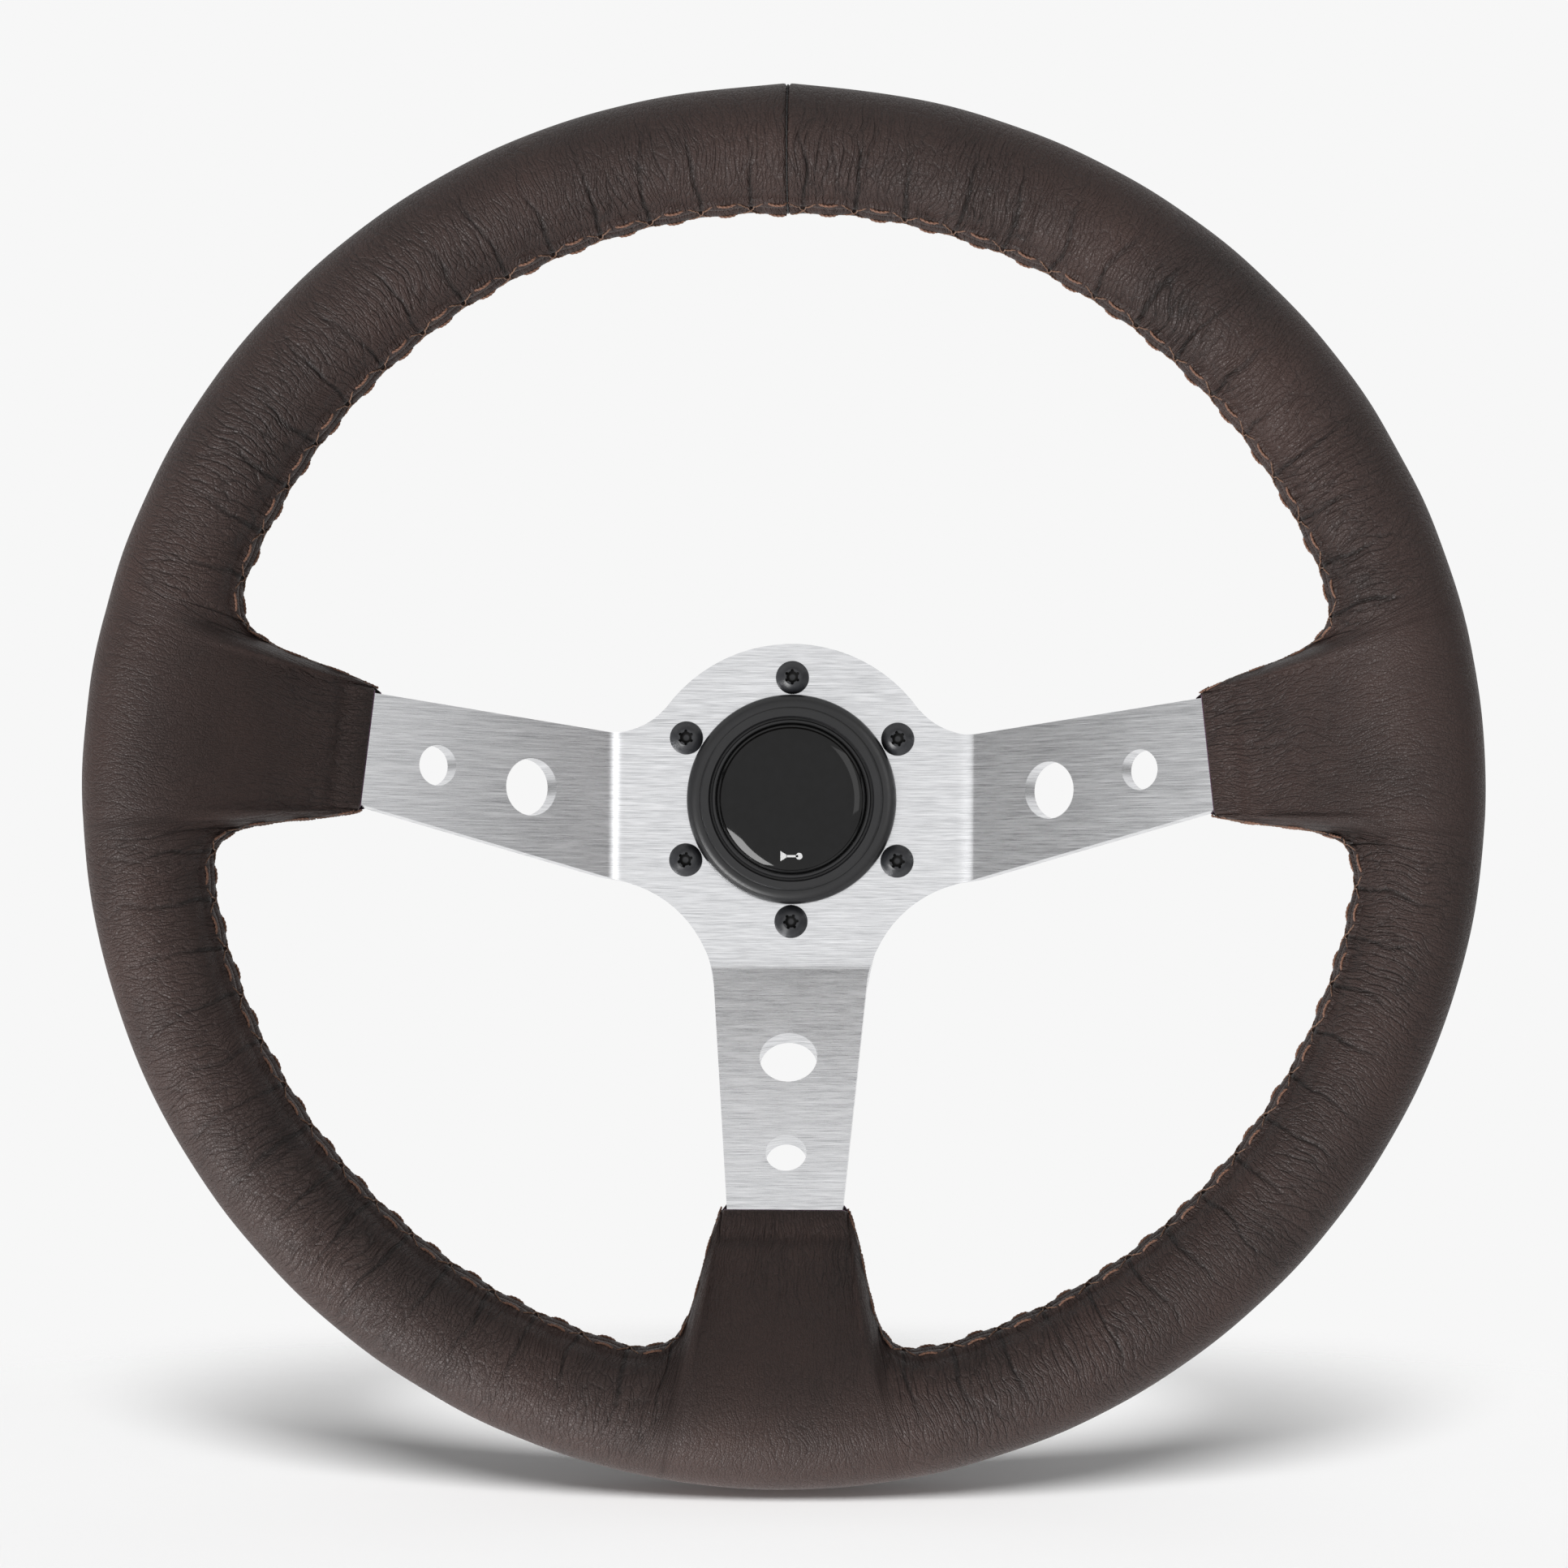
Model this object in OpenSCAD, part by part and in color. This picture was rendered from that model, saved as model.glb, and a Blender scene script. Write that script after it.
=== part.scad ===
/* [Rim] */
// Outside diameter of the leather rim
rim_diameter = 350; // [320:1:380]
// Diameter of the round grip section
grip_diameter = 30; // [26:0.5:34]
// Depth from the front face of the hub plate to the middle plane of the rim
dish = 76; // [65:1:90]
// Thickness of the leather
leather_thickness = 1.2; // [0.8:0.1:1.6]
// Radial width of the aluminium hoop inside the rim
hoop_width = 12; // [8:0.5:13]
// Depth of the hoop
hoop_depth = 6; // [4:0.5:7]
// Width of the open seam that the lacing closes
seam_gap = 1.4; // [1:0.1:2]

/* [Spokes] */
// Thickness of the aluminium plate
plate_thickness = 5; // [4:0.25:6]
// Width of flat plate between the hub circle and the bend line of a side spoke
side_flat = 5.3; // [4:0.1:8]
// Width of flat plate between the hub circle and the bend line of the bottom spoke
bottom_flat = 1.8; // [1:0.1:5]
// Radial distance from the middle line of the rim inwards to the flat tab of a side spoke
tab_reach = 13.5; // [12:0.1:16]
// Inside radius of the bends at the hub
bend_radius = 9; // [6:0.5:11]
// Height of the upper edge of a side spoke at its bend line
side_top = 18.7; // [16:0.1:21]
// Height of the upper edge of a side spoke at its leather end
side_top_end = 26.2; // [23:0.1:30]
// Depth of the lower edge of a side spoke under the axis at its bend line
side_low = 23.4; // [21:0.1:26]
// Depth of the lower edge of a side spoke under the axis at its leather end
side_low_end = 4.1; // [2:0.1:8]
// Half width of the bottom spoke at its bend line
bottom_half = 22.5; // [20:0.25:25]
// Half width of the bottom spoke at its leather end
bottom_half_end = 15.25; // [13:0.05:18]
// Diameter of the large lightening hole of each spoke
large_hole = 16; // [13:0.5:18]
// Diameter of the small lightening hole of each spoke
small_hole = 11; // [8:0.5:13]
// Place of the large hole on the bare length of a side spoke, from the bend line
side_large_place = 0.36; // [0.32:0.005:0.4]
// Place of the small hole on the bare length of a side spoke
side_small_place = 0.73; // [0.7:0.005:0.78]
// Place of the large hole on the bare length of the bottom spoke
bottom_large_place = 0.406; // [0.36:0.002:0.44]
// Place of the small hole on the bare length of the bottom spoke
bottom_small_place = 0.786; // [0.74:0.002:0.82]

/* [Sleeves] */
// Radial length of the side sleeves, from the inner edge of the rim to their leather end
side_sleeve = 33.6; // [30:0.2:37]
// Radial length of the bottom sleeve
bottom_sleeve = 35.3; // [32:0.1:39]
// Length of the thin cuff that lies on the bare metal
cuff_length = 9.5; // [6:0.5:12]

/* [Hub] */
// Bolt circle diameter
bolt_circle = 70; // [69:0.5:72]
// Width of the hub plate outside the bolt circle
hub_edge = 9.7; // [8:0.1:12]
// Fillet between hub and upper edge of the side spokes
top_fillet = 20; // [15:0.5:24]
// Fillet between the side spokes and the bottom spoke
low_fillet = 34; // [30:0.5:36]
// Nominal diameter of the hub screws
screw_diameter = 5; // [5:0.5:6]
// Head diameter of the hub screws
screw_head = 9.5; // [9:0.1:9.6]
// Head height of the hub screws
screw_head_height = 2.75; // [2.2:0.05:3.2]
// Length of the hub screws under the head
screw_length = 21; // [16:1:30]
// Wall left under the seat of the horn button's snap ring at the back of the hub plate
seat_web = 3; // [2.5:0.1:3.2]

/* [Horn button] */
// Gap between the flange ring and the heads of the hub screws
flange_gap = 0.25; // [0.2:0.05:1]
// Width by which the flange ring covers the plate round the hub bore
flange_cover = 4; // [3:0.1:5]
// Height of the flange ring over the hub plate
flange_height = 4.8; // [4:0.1:6]
// Wall of the housing inside the hub bore
housing_wall = 1.7; // [1.4:0.1:2]
// Width by which the trim ring reaches in over the well
trim_lip = 0.8; // [0.6:0.1:1]
// Travel of the pressed cap
cap_travel = 2.2; // [1.5:0.1:2.6]
// Width of the cap's bare edge round the emblem
emblem_edge = 0.9; // [0.5:0.1:2]
// Height of the clear dome over the emblem
dome_height = 1.5; // [1:0.1:2]
// Depth of the housing behind the front face of the hub plate
housing_depth = 17; // [16:0.5:22]
// Wire diameter of the return spring
spring_wire = 1.2; // [0.9:0.1:1.4]

/* [Hidden] */
fine = 96;
eps = 0.01;
join = 0.05;
// the bends are this much narrower on each edge than the flat plate beside them
inset = 0.03;
pt = plate_thickness;
rim_h = pt + dish;
grip_r = grip_diameter / 2;
ring_r = rim_diameter / 2 - grip_r;
rt = ring_r - grip_r;
core_r = grip_r - leather_thickness;
hoop_back = rim_h - hoop_depth / 2;
tab_bend = 4;
hub_radius = bolt_circle / 2 + hub_edge;
side_bend = hub_radius + side_flat;
bottom_bend = hub_radius + bottom_flat;
side_cuff = rt - side_sleeve;
bottom_cuff = rt - bottom_sleeve;
// tilt at which a side spoke climbs from its bend line to the tab behind the hoop
climb = hoop_back - pt - (tab_bend + pt);
reach = ring_r - tab_reach - side_bend;
spoke_tilt = atan(climb / reach) + asin((tab_bend + pt) / sqrt(climb * climb + reach * reach));
ta = tan(spoke_tilt);
ca = cos(spoke_tilt);
sa = sin(spoke_tilt);
bend_set = bend_radius * tan(spoke_tilt / 2);
// bare length of the spokes along their slope, and how fast their edges close in
side_bare = (side_cuff - side_bend) / ca;
bottom_bare = (bottom_cuff - bottom_bend) / ca;
side_top_rise = (side_top_end - side_top) / side_bare;
side_low_rise = (side_low - side_low_end) / side_bare;
bottom_taper = (bottom_half - bottom_half_end) / bottom_bare;
// distance along a spoke, from its bend line, where the outer bend begins
tab_rise = (tab_bend + pt) * (1 - ca);
tab_s = (hoop_back - tab_rise - pt) / sa;
tab_over = 5;
tab_end = ring_r + tab_over;
rivet_r = 2.5;
rivet_head_r = 4.2;
rivet_head_h = 1.6;
rivet_edge = 5;
clear = 0.2;
bolt_hole_r = screw_diameter / 2 + clear;
neck_r = screw_diameter / 2 - 0.3;
// upper fillet centre, from the hub arc and the upper edge line
qt = sqrt(1 + side_top_rise * side_top_rise);
dt = (side_top - side_bend * side_top_rise) / qt;
lt = sqrt(pow(hub_radius + top_fillet, 2) - pow(dt + top_fillet, 2));
tf_x = (-side_top_rise * (dt + top_fillet) + lt) / qt;
tf_y = ((dt + top_fillet) + side_top_rise * lt) / qt;
// lower fillet centre, from the lower edge line and the edge of the bottom spoke
ql = sqrt(1 + side_low_rise * side_low_rise);
ml = (-side_low - side_bend * side_low_rise) / ql - low_fillet;
qb = sqrt(1 + bottom_taper * bottom_taper);
mb = (bottom_half + bottom_bend * bottom_taper) / qb + low_fillet;
// the two tangent lines: -rise x + y = ml ql and x - taper y = mb qb
lf_den = 1 - side_low_rise * bottom_taper;
lf_x = (mb * qb + bottom_taper * ml * ql) / lf_den;
lf_y = ml * ql + side_low_rise * lf_x;
tf_end = tf_x + top_fillet * side_top_rise / qt;
lf_side_end = lf_x - low_fillet * side_low_rise / ql;
lf_bottom_end = -lf_y - low_fillet * bottom_taper / qb;
// edges in the flat pattern, f is the distance from the axis along the spoke
function arc_y(f, cx, cy, r, s) = cy + s * sqrt(max(0, r * r - (f - cx) * (f - cx)));
function top_line(f) = side_top + side_top_rise * (f - side_bend);
function low_line(f) = -side_low + side_low_rise * (f - side_bend);
function half_line(f) = bottom_half - bottom_taper * (f - bottom_bend);
function top_edge(f) = f < tf_end ? arc_y(f, tf_x, tf_y, top_fillet, -1) : top_line(f);
function low_edge(f) = f < lf_side_end ? arc_y(f, lf_x, lf_y, low_fillet, 1) : low_line(f);
function half_edge(f) = f < lf_bottom_end ? arc_y(f, -lf_y, lf_x, low_fillet, -1) : half_line(f);
// the rivets sit on the middle line of the rim, at one distance from the edges of the tabs
side_rivets = [asin((low_line(side_bend + tab_s) + rivet_edge) / ring_r),
  asin((top_line(side_bend + tab_s) - rivet_edge) / ring_r)];
bottom_rivet = asin((half_line(bottom_bend + tab_s) - rivet_edge) / ring_r);
bottom_rivets = [-bottom_rivet, bottom_rivet];
// horn button levels, measured towards the driver from the back face of the hub plate
flange_r = bolt_circle / 2 - screw_head / 2 - flange_gap;
bore_r = flange_r - flange_cover;
bore_clear = 0.3;
body_r = bore_r - bore_clear;
well_r = body_r - housing_wall;
trim_r = well_r - trim_lip;
trim_rest = 0.6;
trim_t = 1.5;
trim_base = pt + flange_height - trim_rest;
trim_top = trim_base + trim_t;
cap_gap = 0.5;
cap_r = trim_r - cap_gap;
cap_lip_r = well_r - clear;
cap_lip = 1.4;
cap_skirt = 1.4;
cap_face = trim_top - 0.5;
emblem_r = cap_r - emblem_edge;
disc_t = 0.6;
house_back = pt - housing_depth;
floor_t = 2;
insul_t = 2;
insul_top = house_back + floor_t + insul_t;
ring_contact_t = 0.8;
ring_contact_top = insul_top + ring_contact_t;
plate_low = ring_contact_top + cap_travel;
contact_t = 1;
plate_high = plate_low + contact_t;
cap_web = 1.6;
cap_under = cap_face - disc_t - cap_web;
// the switch parts share the well: the posts are a tenth of it, the other rings follow
post_r = well_r / 10;
spring_r = well_r * 7 / 24;
boss_r = spring_r - spring_wire / 2 - 0.7;
spigot_h = 1.5;
strap_t = 0.4;
strap_r = spring_r + spring_wire / 2 + 0.6;
ring_in = strap_r + 1;
ring_out = ring_in + post_r * 11 / 6;
post_at = ring_out + post_r + 1;
post_count = 3;
small_screw_r = 0.8;
small_head_r = 1.7;
small_head_h = 0.5;
plate_in = strap_r + 0.4;
plate_out = post_at + post_r - 0.2;
// rubber ring and snap ring, sunk in a seat at the back of the hub bore
snap_t = 1;
snap_r = body_r - 1.1;
snap_out = body_r + 1.6;
rubber_out = bore_r + 2.4;
seat_h = pt - seat_web;
rubber_t = seat_h - snap_t - 0.1;
snap_top = seat_h - rubber_t;
seat_r = rubber_out + clear;
spring_turns = 6;
terminal_x = (ring_in + ring_out) / 2;
term_hole_r = 0.9;
term_head_r = 1.8;
// the head on the strap stays under the fixed contact, which stops the contact plate
strap_head_h = ring_contact_t - strap_t - 0.15;
c_alu = [0.78, 0.79, 0.8];
c_dark = [0.1, 0.1, 0.11];
c_leather = [0.23, 0.19, 0.17];
c_thread = [0.58, 0.4, 0.28];
c_brass = [0.8, 0.65, 0.3];

// sleeve tables: angle past the edge of the plate and the radius of the seam there
function flare(edge, way, cuff_r) = [
  [edge + way * 0.25, cuff_r, 1],
  [edge + way * 0.75, cuff_r + 0.9, 0],
  [edge + way * 1.15, cuff_r + 4, 0],
  [edge + way * 1.55, cuff_r + cuff_length, 0],
  [edge + way * 1.8, cuff_r + (rt - cuff_r) * 0.52, 0],
  [edge + way * 2.2, rt - 8.5, 0],
  [edge + way * 3, rt - 4.2, 0],
  [edge + way * 4.2, rt - 2, 0],
  [edge + way * 6, rt - 0.6, 0],
  [edge + way * 8.5, rt, 0]];
function rev(v) = [for (i = [len(v) - 1:-1:0]) v[i]];
// angle of a plate edge point seen from the axis, at a radius near the cuff
function sx(s) = side_bend + s * ca;
function bx(s) = bottom_bend + s * ca;
edge_hi = atan(top_line(side_bend + side_bare - 2.5) / sx(side_bare - 2.5));
edge_lo = atan(low_line(side_bend + side_bare + 1.5) / sx(side_bare + 1.5));
edge_b = atan(half_line(bottom_bend + bottom_bare) / bx(bottom_bare));
mid_a = (edge_hi + edge_lo) / 2;
cuff_side_r = side_cuff / cos((edge_hi - edge_lo) / 2);
cuff_bottom_r = bottom_cuff / cos(edge_b);
// one entry for each section: angle, seam radius, 1 where the plate passes, spoke number
function sleeve_right() = concat(rev(flare(edge_lo, -1, cuff_side_r)),
  [for (i = [1:4]) let (a = edge_lo + (edge_hi - edge_lo) * i / 5) [a, side_cuff / cos(a - mid_a), 1]],
  flare(edge_hi, 1, cuff_side_r));
function tag(v, k) = [for (p = v) [p[0], p[1], p[2], k]];
function turned(v) = [for (p = rev(v)) [180 - p[0], p[1], p[2]]];
function sleeve_bottom() = [for (p = concat(rev(flare(-edge_b, -1, cuff_bottom_r)),
  [for (i = [1:4]) let (a = edge_b * (2 * i / 5 - 1)) [a, bottom_cuff / cos(a), 1]],
  flare(edge_b, 1, cuff_bottom_r))) [270 + p[0], p[1], p[2]]];
function plain(a, b, n) = [for (i = [1:n - 1]) [a + (b - a) * i / n, rt, 0, 0]];
hi_end = edge_hi + 8.5;
lo_end = edge_lo - 8.5;
b_end = edge_b + 8.5;
seam_half = 0.3;
lines = concat(
  tag(sleeve_right(), 1),
  plain(hi_end, 90 - seam_half, 13),
  [[90 - seam_half, rt, 0, 0], [90 + seam_half, rt, 0, 0]],
  plain(90 + seam_half, 180 - hi_end, 13),
  tag(turned(sleeve_right()), 2),
  plain(180 - lo_end, 270 - b_end, 12),
  tag(sleeve_bottom(), 3),
  plain(270 + b_end, 360 + lo_end, 12));
nl = len(lines);
// height of the front face of the spoke plate at a point of a section
function along(a, r, k) = k == 3 ? r * cos(a - 270) - bottom_bend
  : k == 2 ? r * cos(180 - a) - side_bend : r * cos(a) - side_bend;
function face_h(a, r, k) = pt + along(a, r, k) * ta;
function smooth(x) = let (c = min(1, max(0, x))) c * c * (3 - 2 * c);
function mixed(a, b, w) = a * (1 - w) + b * w;
function bez(a, b, c, d, t) = a * pow(1 - t, 3) + b * 3 * t * pow(1 - t, 2)
  + c * 3 * t * t * (1 - t) + d * pow(t, 3);
function tube(r, a) = [ring_r + r * cos(a), rim_h + r * sin(a)];
function blend(l) = smooth((rt - l[1]) / (rt - cuff_side_r - 8));
// middle of the seam or of the plate at the inner end of a section
function mid_h(l) = l[3] == 0 ? rim_h
  : mixed(rim_h, face_h(l[0], l[1], l[3]) - pt / ca / 2, smooth((rt - l[1]) / 8));
// one side of a section, way is 1 for the front and -1 for the back, r is the grip radius used
function side_pts(l, way, r, lt) = let (
  w = l[3] == 0 ? 0 : blend(l),
  plate = l[2] == 1,
  front = way > 0,
  r1 = plate ? l[1] + cuff_length : l[1] + 1.5,
  lip = lt / ca,
  g0 = plate ? pt / ca / 2 : seam_gap / 2,
  g1 = plate ? pt / ca / 2 : mixed(2.9, 2.6, w),
  m0 = mid_h(l),
  m1 = plate ? face_h(l[0], r1, l[3]) - pt / ca / 2 : m0 + 1.5 * ta * w,
  e0 = [l[1], m0 + way * (g0 + (plate ? lip : lt))],
  e1 = [r1, m1 + way * (g1 + (plate ? lip : lt * 0.9))],
  at = front ? 115 - 20 * w : 90,
  b3 = tube(r, way * at),
  span = r * mixed(front ? 0.34 : 0.46, 0.93, w),
  lead = r * mixed(front ? 0.3 : 0.42, 0.8, w),
  b1 = e1 + lead * (front ? mixed([0.25, 0.97], [ca, sa], w) : mixed([0.25, -0.97], [ca, sa], w)),
  b2 = b3 + span * [-sin(at), way * cos(at)],
  rest = front ? at * [0.75, 0.5, 0.25] : [60, 30])
  concat([e0, e1], [for (t = [1 / 3, 2 / 3]) bez(e1, b1, b2, b3, t)], [b3], [for (q = rest) tube(r, way * q)]);
// closed outline of a section: front side, outermost point, back side
function outline(l, r, lt) = concat(side_pts(l, 1, r, lt), [tube(r, 0)], rev(side_pts(l, -1, r, lt)));
function outer_pts(l) = outline(l, grip_r, leather_thickness);
function inner_pts(l) = outline(l, core_r, 0);
function cut(v, a, b) = [for (i = [a:b]) v[i]];
function spin(l, p) = [p[0] * cos(l[0]), p[0] * sin(l[0]), p[1]];
function leather_ring(l) = concat(inner_pts(l), rev(outer_pts(l)));
function foam_ring(l) = let (v = inner_pts(l)) cut(v, 1, len(v) - 2);
function lace_ring(l) = let (v = inner_pts(l), n = len(v), a = v[0], b = v[n - 1], t = 0.95)
  [a, mixed(a, v[1], t), mixed(b, v[n - 2], t), b, b + [-0.7, 0.25], a + [-0.7, -0.25]];
// skin over a row of rings, joined end to end or closed with caps
function loop_faces(n, m) = [for (i = [0:n - 1], j = [0:m - 1])
  let (k = (i + 1) % n, q = (j + 1) % m) [i * m + j, i * m + q, k * m + q]];
function loop_faces2(n, m) = [for (i = [0:n - 1], j = [0:m - 1])
  let (k = (i + 1) % n, q = (j + 1) % m) [i * m + j, k * m + q, k * m + j]];
module ring_skin(rings, inward = false) {
  m = len(rings[0]);
  skin = concat(loop_faces(len(rings), m), loop_faces2(len(rings), m));
  polyhedron(points = [for (r = rings) for (p = r) p], faces = inward ? [for (f = skin) rev(f)] : skin);
}
module run_skin(rings) {
  n = len(rings);
  m = len(rings[0]);
  sides = [for (i = [0:n - 2], j = [0:m - 1]) let (q = (j + 1) % m) [i * m + j, i * m + q, (i + 1) * m + q]];
  sides2 = [for (i = [0:n - 2], j = [0:m - 1]) let (q = (j + 1) % m) [i * m + j, (i + 1) * m + q, (i + 1) * m + j]];
  caps = [[for (j = [m - 1:-1:0]) j], [for (j = [0:m - 1]) (n - 1) * m + j]];
  polyhedron(points = [for (r = rings) for (p = r) p], faces = concat(sides, sides2, caps));
}
// the model is drawn with the driver's side up and then stood up
module stand() { rotate([90, 0, 0]) children(); }
module tube_of(r1, r2, z0, z1) {
  translate([0, 0, z0]) difference() {
    cylinder(h = z1 - z0, r = r2, $fn = fine);
    translate([0, 0, -1]) cylinder(h = z1 - z0 + 2, r = r1, $fn = fine);
  }
}
module disc(r, z0, z1) { translate([0, 0, z0]) cylinder(h = z1 - z0, r = r, $fn = fine); }

module hub_half_2d() {
  // the first edge meets the upper fillet just beside the point where it touches the hub arc
  off = 4 / (hub_radius + top_fillet);
  polygon([[off * tf_y, -off * tf_x], [tf_x, tf_y], [tf_x, top_line(tf_x)], [side_bend, low_line(side_bend)],
    [lf_side_end, low_line(lf_side_end)], [lf_x, lf_y], [half_line(lf_bottom_end), -lf_bottom_end],
    [-1, -lf_bottom_end], [-1, -off * tf_x]]);
}
module hub_2d() {
  intersection() {
    difference() {
      union() {
        rotate(90) circle(r = hub_radius, $fn = fine);
        hub_half_2d();
        mirror([1, 0]) hub_half_2d();
      }
      for (m = [1, -1]) translate([m * tf_x, tf_y]) circle(r = top_fillet - eps, $fn = fine);
      for (m = [1, -1]) translate([m * lf_x, lf_y]) circle(r = low_fillet - eps, $fn = fine);
      circle(r = bore_r, $fn = fine);
      for (i = [0:5]) rotate(90 - 60 * i) translate([bolt_circle / 2, 0]) circle(r = bolt_hole_r, $fn = 48);
    }
    translate([bend_set - side_bend, bend_set - bottom_bend]) square([2 * (side_bend - bend_set), 120]);
  }
}
// front point, tilt and distance along the flat pattern of each section of a spoke, from the hub to the rim
steps = 12;
function spoke_path(bend, fs) = let (start = bend - bend_set, r = bend_radius, big = tab_bend + pt,
    cx = bend + tab_s * ca + big * sa, cz = pt + tab_s * sa - big * ca)
  concat([[start - join, pt, 0, start]],
    [for (k = [0:steps]) let (a = spoke_tilt * k / steps)
      [start + r * sin(a), pt + r - r * cos(a), a, start + 2 * bend_set * k / steps]],
    [for (f = fs) [bend + (f - bend) * ca, pt + (f - bend) * sa, spoke_tilt, f]],
    [for (k = [0:steps / 2]) let (a = spoke_tilt * (1 - 2 * k / steps))
      [cx - big * sin(a), cz + big * cos(a), a, bend + tab_s]],
    [[tab_end, hoop_back, 0, bend + tab_s]]);
function plate_ring(p, lo, hi) = let (b = [p[0] + pt * sin(p[2]), p[1] - pt * cos(p[2])])
  [[p[0], lo, p[1]], [p[0], hi, p[1]], [b[0], hi, b[1]], [b[0], lo, b[1]]];
// f values between the end of the bend and the end of the fillet
function fillet_steps(bend, last, n) = [for (i = [1:n]) mixed(bend + bend_set, max(last, bend + bend_set + n * join), i / n)];
module side_plate() {
  path = spoke_path(side_bend, fillet_steps(side_bend, tf_end, 1));
  run_skin([for (p = path) plate_ring(p, low_edge(p[3]) + inset, top_edge(p[3]) - inset)]);
}
module bottom_plate() {
  path = spoke_path(bottom_bend, fillet_steps(bottom_bend, lf_bottom_end, 6));
  run_skin([for (p = path) plate_ring(p, inset - half_edge(p[3]), half_edge(p[3]) - inset)]);
}
function side_mid(s) = (top_line(side_bend + s) + low_line(side_bend + s)) / 2;
module spoke_hole(bend, s, y, d) {
  translate([bend, 0, pt]) rotate([0, -spoke_tilt, 0]) translate([s, y, -pt - 1]) cylinder(h = pt + 2, d = d, $fn = fine);
}
module side_spoke() {
  difference() {
    side_plate();
    for (h = [[side_large_place, large_hole], [side_small_place, small_hole]])
      spoke_hole(side_bend, h[0] * side_bare, side_mid(h[0] * side_bare), h[1]);
  }
}
module bottom_spoke() {
  difference() {
    bottom_plate();
    for (h = [[bottom_large_place, large_hole], [bottom_small_place, small_hole]])
      spoke_hole(bottom_bend, h[0] * bottom_bare, 0, h[1]);
  }
}
module rivet_spots() {
  for (a = side_rivets) {
    rotate(a) translate([ring_r, 0, 0]) children();
    rotate(180 - a) translate([ring_r, 0, 0]) children();
  }
  for (a = bottom_rivets) rotate(270 + a) translate([ring_r, 0, 0]) children();
}
module frame_raw() {
  linear_extrude(pt) hub_2d();
  side_spoke();
  mirror([1, 0, 0]) side_spoke();
  rotate(-90) bottom_spoke();
}
module hoop_raw() {
  tube_of(ring_r - hoop_width / 2, ring_r + hoop_width / 2, hoop_back, hoop_back + hoop_depth);
}
module rivet_one() {
  translate([0, 0, hoop_back - pt]) cylinder(h = pt + hoop_depth, r = rivet_r, $fn = 32);
  translate([0, 0, hoop_back - pt - rivet_head_h]) cylinder(h = rivet_head_h, r = rivet_head_r, $fn = 32);
  translate([0, 0, hoop_back + hoop_depth]) cylinder(h = rivet_head_h, r = rivet_head_r, $fn = 32);
}
module spoke_frame() {
  color(c_alu) stand() difference() {
    frame_raw();
    rivet_spots() translate([0, 0, hoop_back - pt - 1]) cylinder(h = pt + 2, r = rivet_r, $fn = 32);
    disc(seat_r, -1, seat_h);
  }
}
module rim_hoop() {
  color(c_alu) stand() difference() {
    hoop_raw();
    rivet_spots() translate([0, 0, hoop_back - 1]) cylinder(h = hoop_depth + 2, r = rivet_r, $fn = 32);
  }
}
module rim_rivets() { color(c_alu) stand() rivet_spots() rivet_one(); }
module foam_grip() {
  color([0.2, 0.2, 0.2]) stand() difference() {
    ring_skin([for (l = lines) [for (p = foam_ring(l)) spin(l, p)]]);
    hoop_raw();
    rivet_spots() rivet_one();
    side_plate();
    mirror([1, 0, 0]) side_plate();
    rotate(-90) bottom_plate();
  }
}
module leather_cover() {
  color(c_leather) stand() ring_skin([for (l = lines) [for (p = leather_ring(l)) spin(l, p)]], true);
}
n_sleeve = len(sleeve_right());
n_flare = 10;
// places of the first and last seam section of each stitched run
first_upper = n_sleeve - n_flare + 1;
last_upper = n_sleeve + 12 + 2 + 12 + n_flare - 2;
first_left = 2 * n_sleeve + 26 - n_flare + 1;
last_left = 2 * n_sleeve + 26 + 11 + n_flare - 2;
first_right = 3 * n_sleeve + 37 - n_flare + 1;
last_right = nl + n_flare - 2;
module lacing(a, b) {
  color(c_thread) stand() run_skin([for (i = [a:b]) let (l = lines[i % nl]) [for (p = lace_ring(l)) spin(l, p)]]);
}
module lacing_upper() { lacing(first_upper, last_upper); }
module lacing_left() { lacing(first_left, last_left); }
module lacing_right() { lacing(first_right, last_right); }
seam_at = n_sleeve + 12;
seam_t = 0.5;
seam_lift = 0.03;
function lifted(p, t) = p + t * (p - [ring_r, rim_h]) / norm(p - [ring_r, rim_h]);
module top_seam() {
  a = lines[seam_at];
  b = lines[seam_at + 1];
  v = outer_pts(a);
  color(c_dark) stand() run_skin([for (i = [1:len(v) - 2]) let (p = lifted(v[i], seam_lift), q = lifted(v[i], seam_t))
    [spin(a, p), spin(a, q), spin(b, q), spin(b, p)]]);
}

module six_lobe(r) {
  circle(r = r * 0.74, $fn = 32);
  for (i = [0:5]) rotate(60 * i) translate([r * 0.8, 0]) circle(r = r * 0.2, $fn = 24);
}
head_r = screw_head / 2;
crown_r = head_r * 0.48;
brim = 0.4;
crown_c = (pow(crown_r, 2) + pow(screw_head_height, 2) - pow(head_r, 2) - brim * brim) / (2 * (screw_head_height - brim));
crown_s = sqrt(pow(head_r, 2) + pow(brim - crown_c, 2));
module screw_one() {
  difference() {
    rotate_extrude($fn = 64) intersection() {
      square([head_r, screw_head_height]);
      translate([0, crown_c]) circle(r = crown_s, $fn = fine);
    }
    translate([0, 0, screw_head_height - 1.7]) linear_extrude(3) six_lobe(2.25);
  }
  translate([0, 0, -pt]) cylinder(h = pt, r = neck_r, $fn = 48);
  translate([0, 0, -screw_length]) cylinder(h = screw_length - pt, d = screw_diameter, $fn = 48);
}
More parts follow.
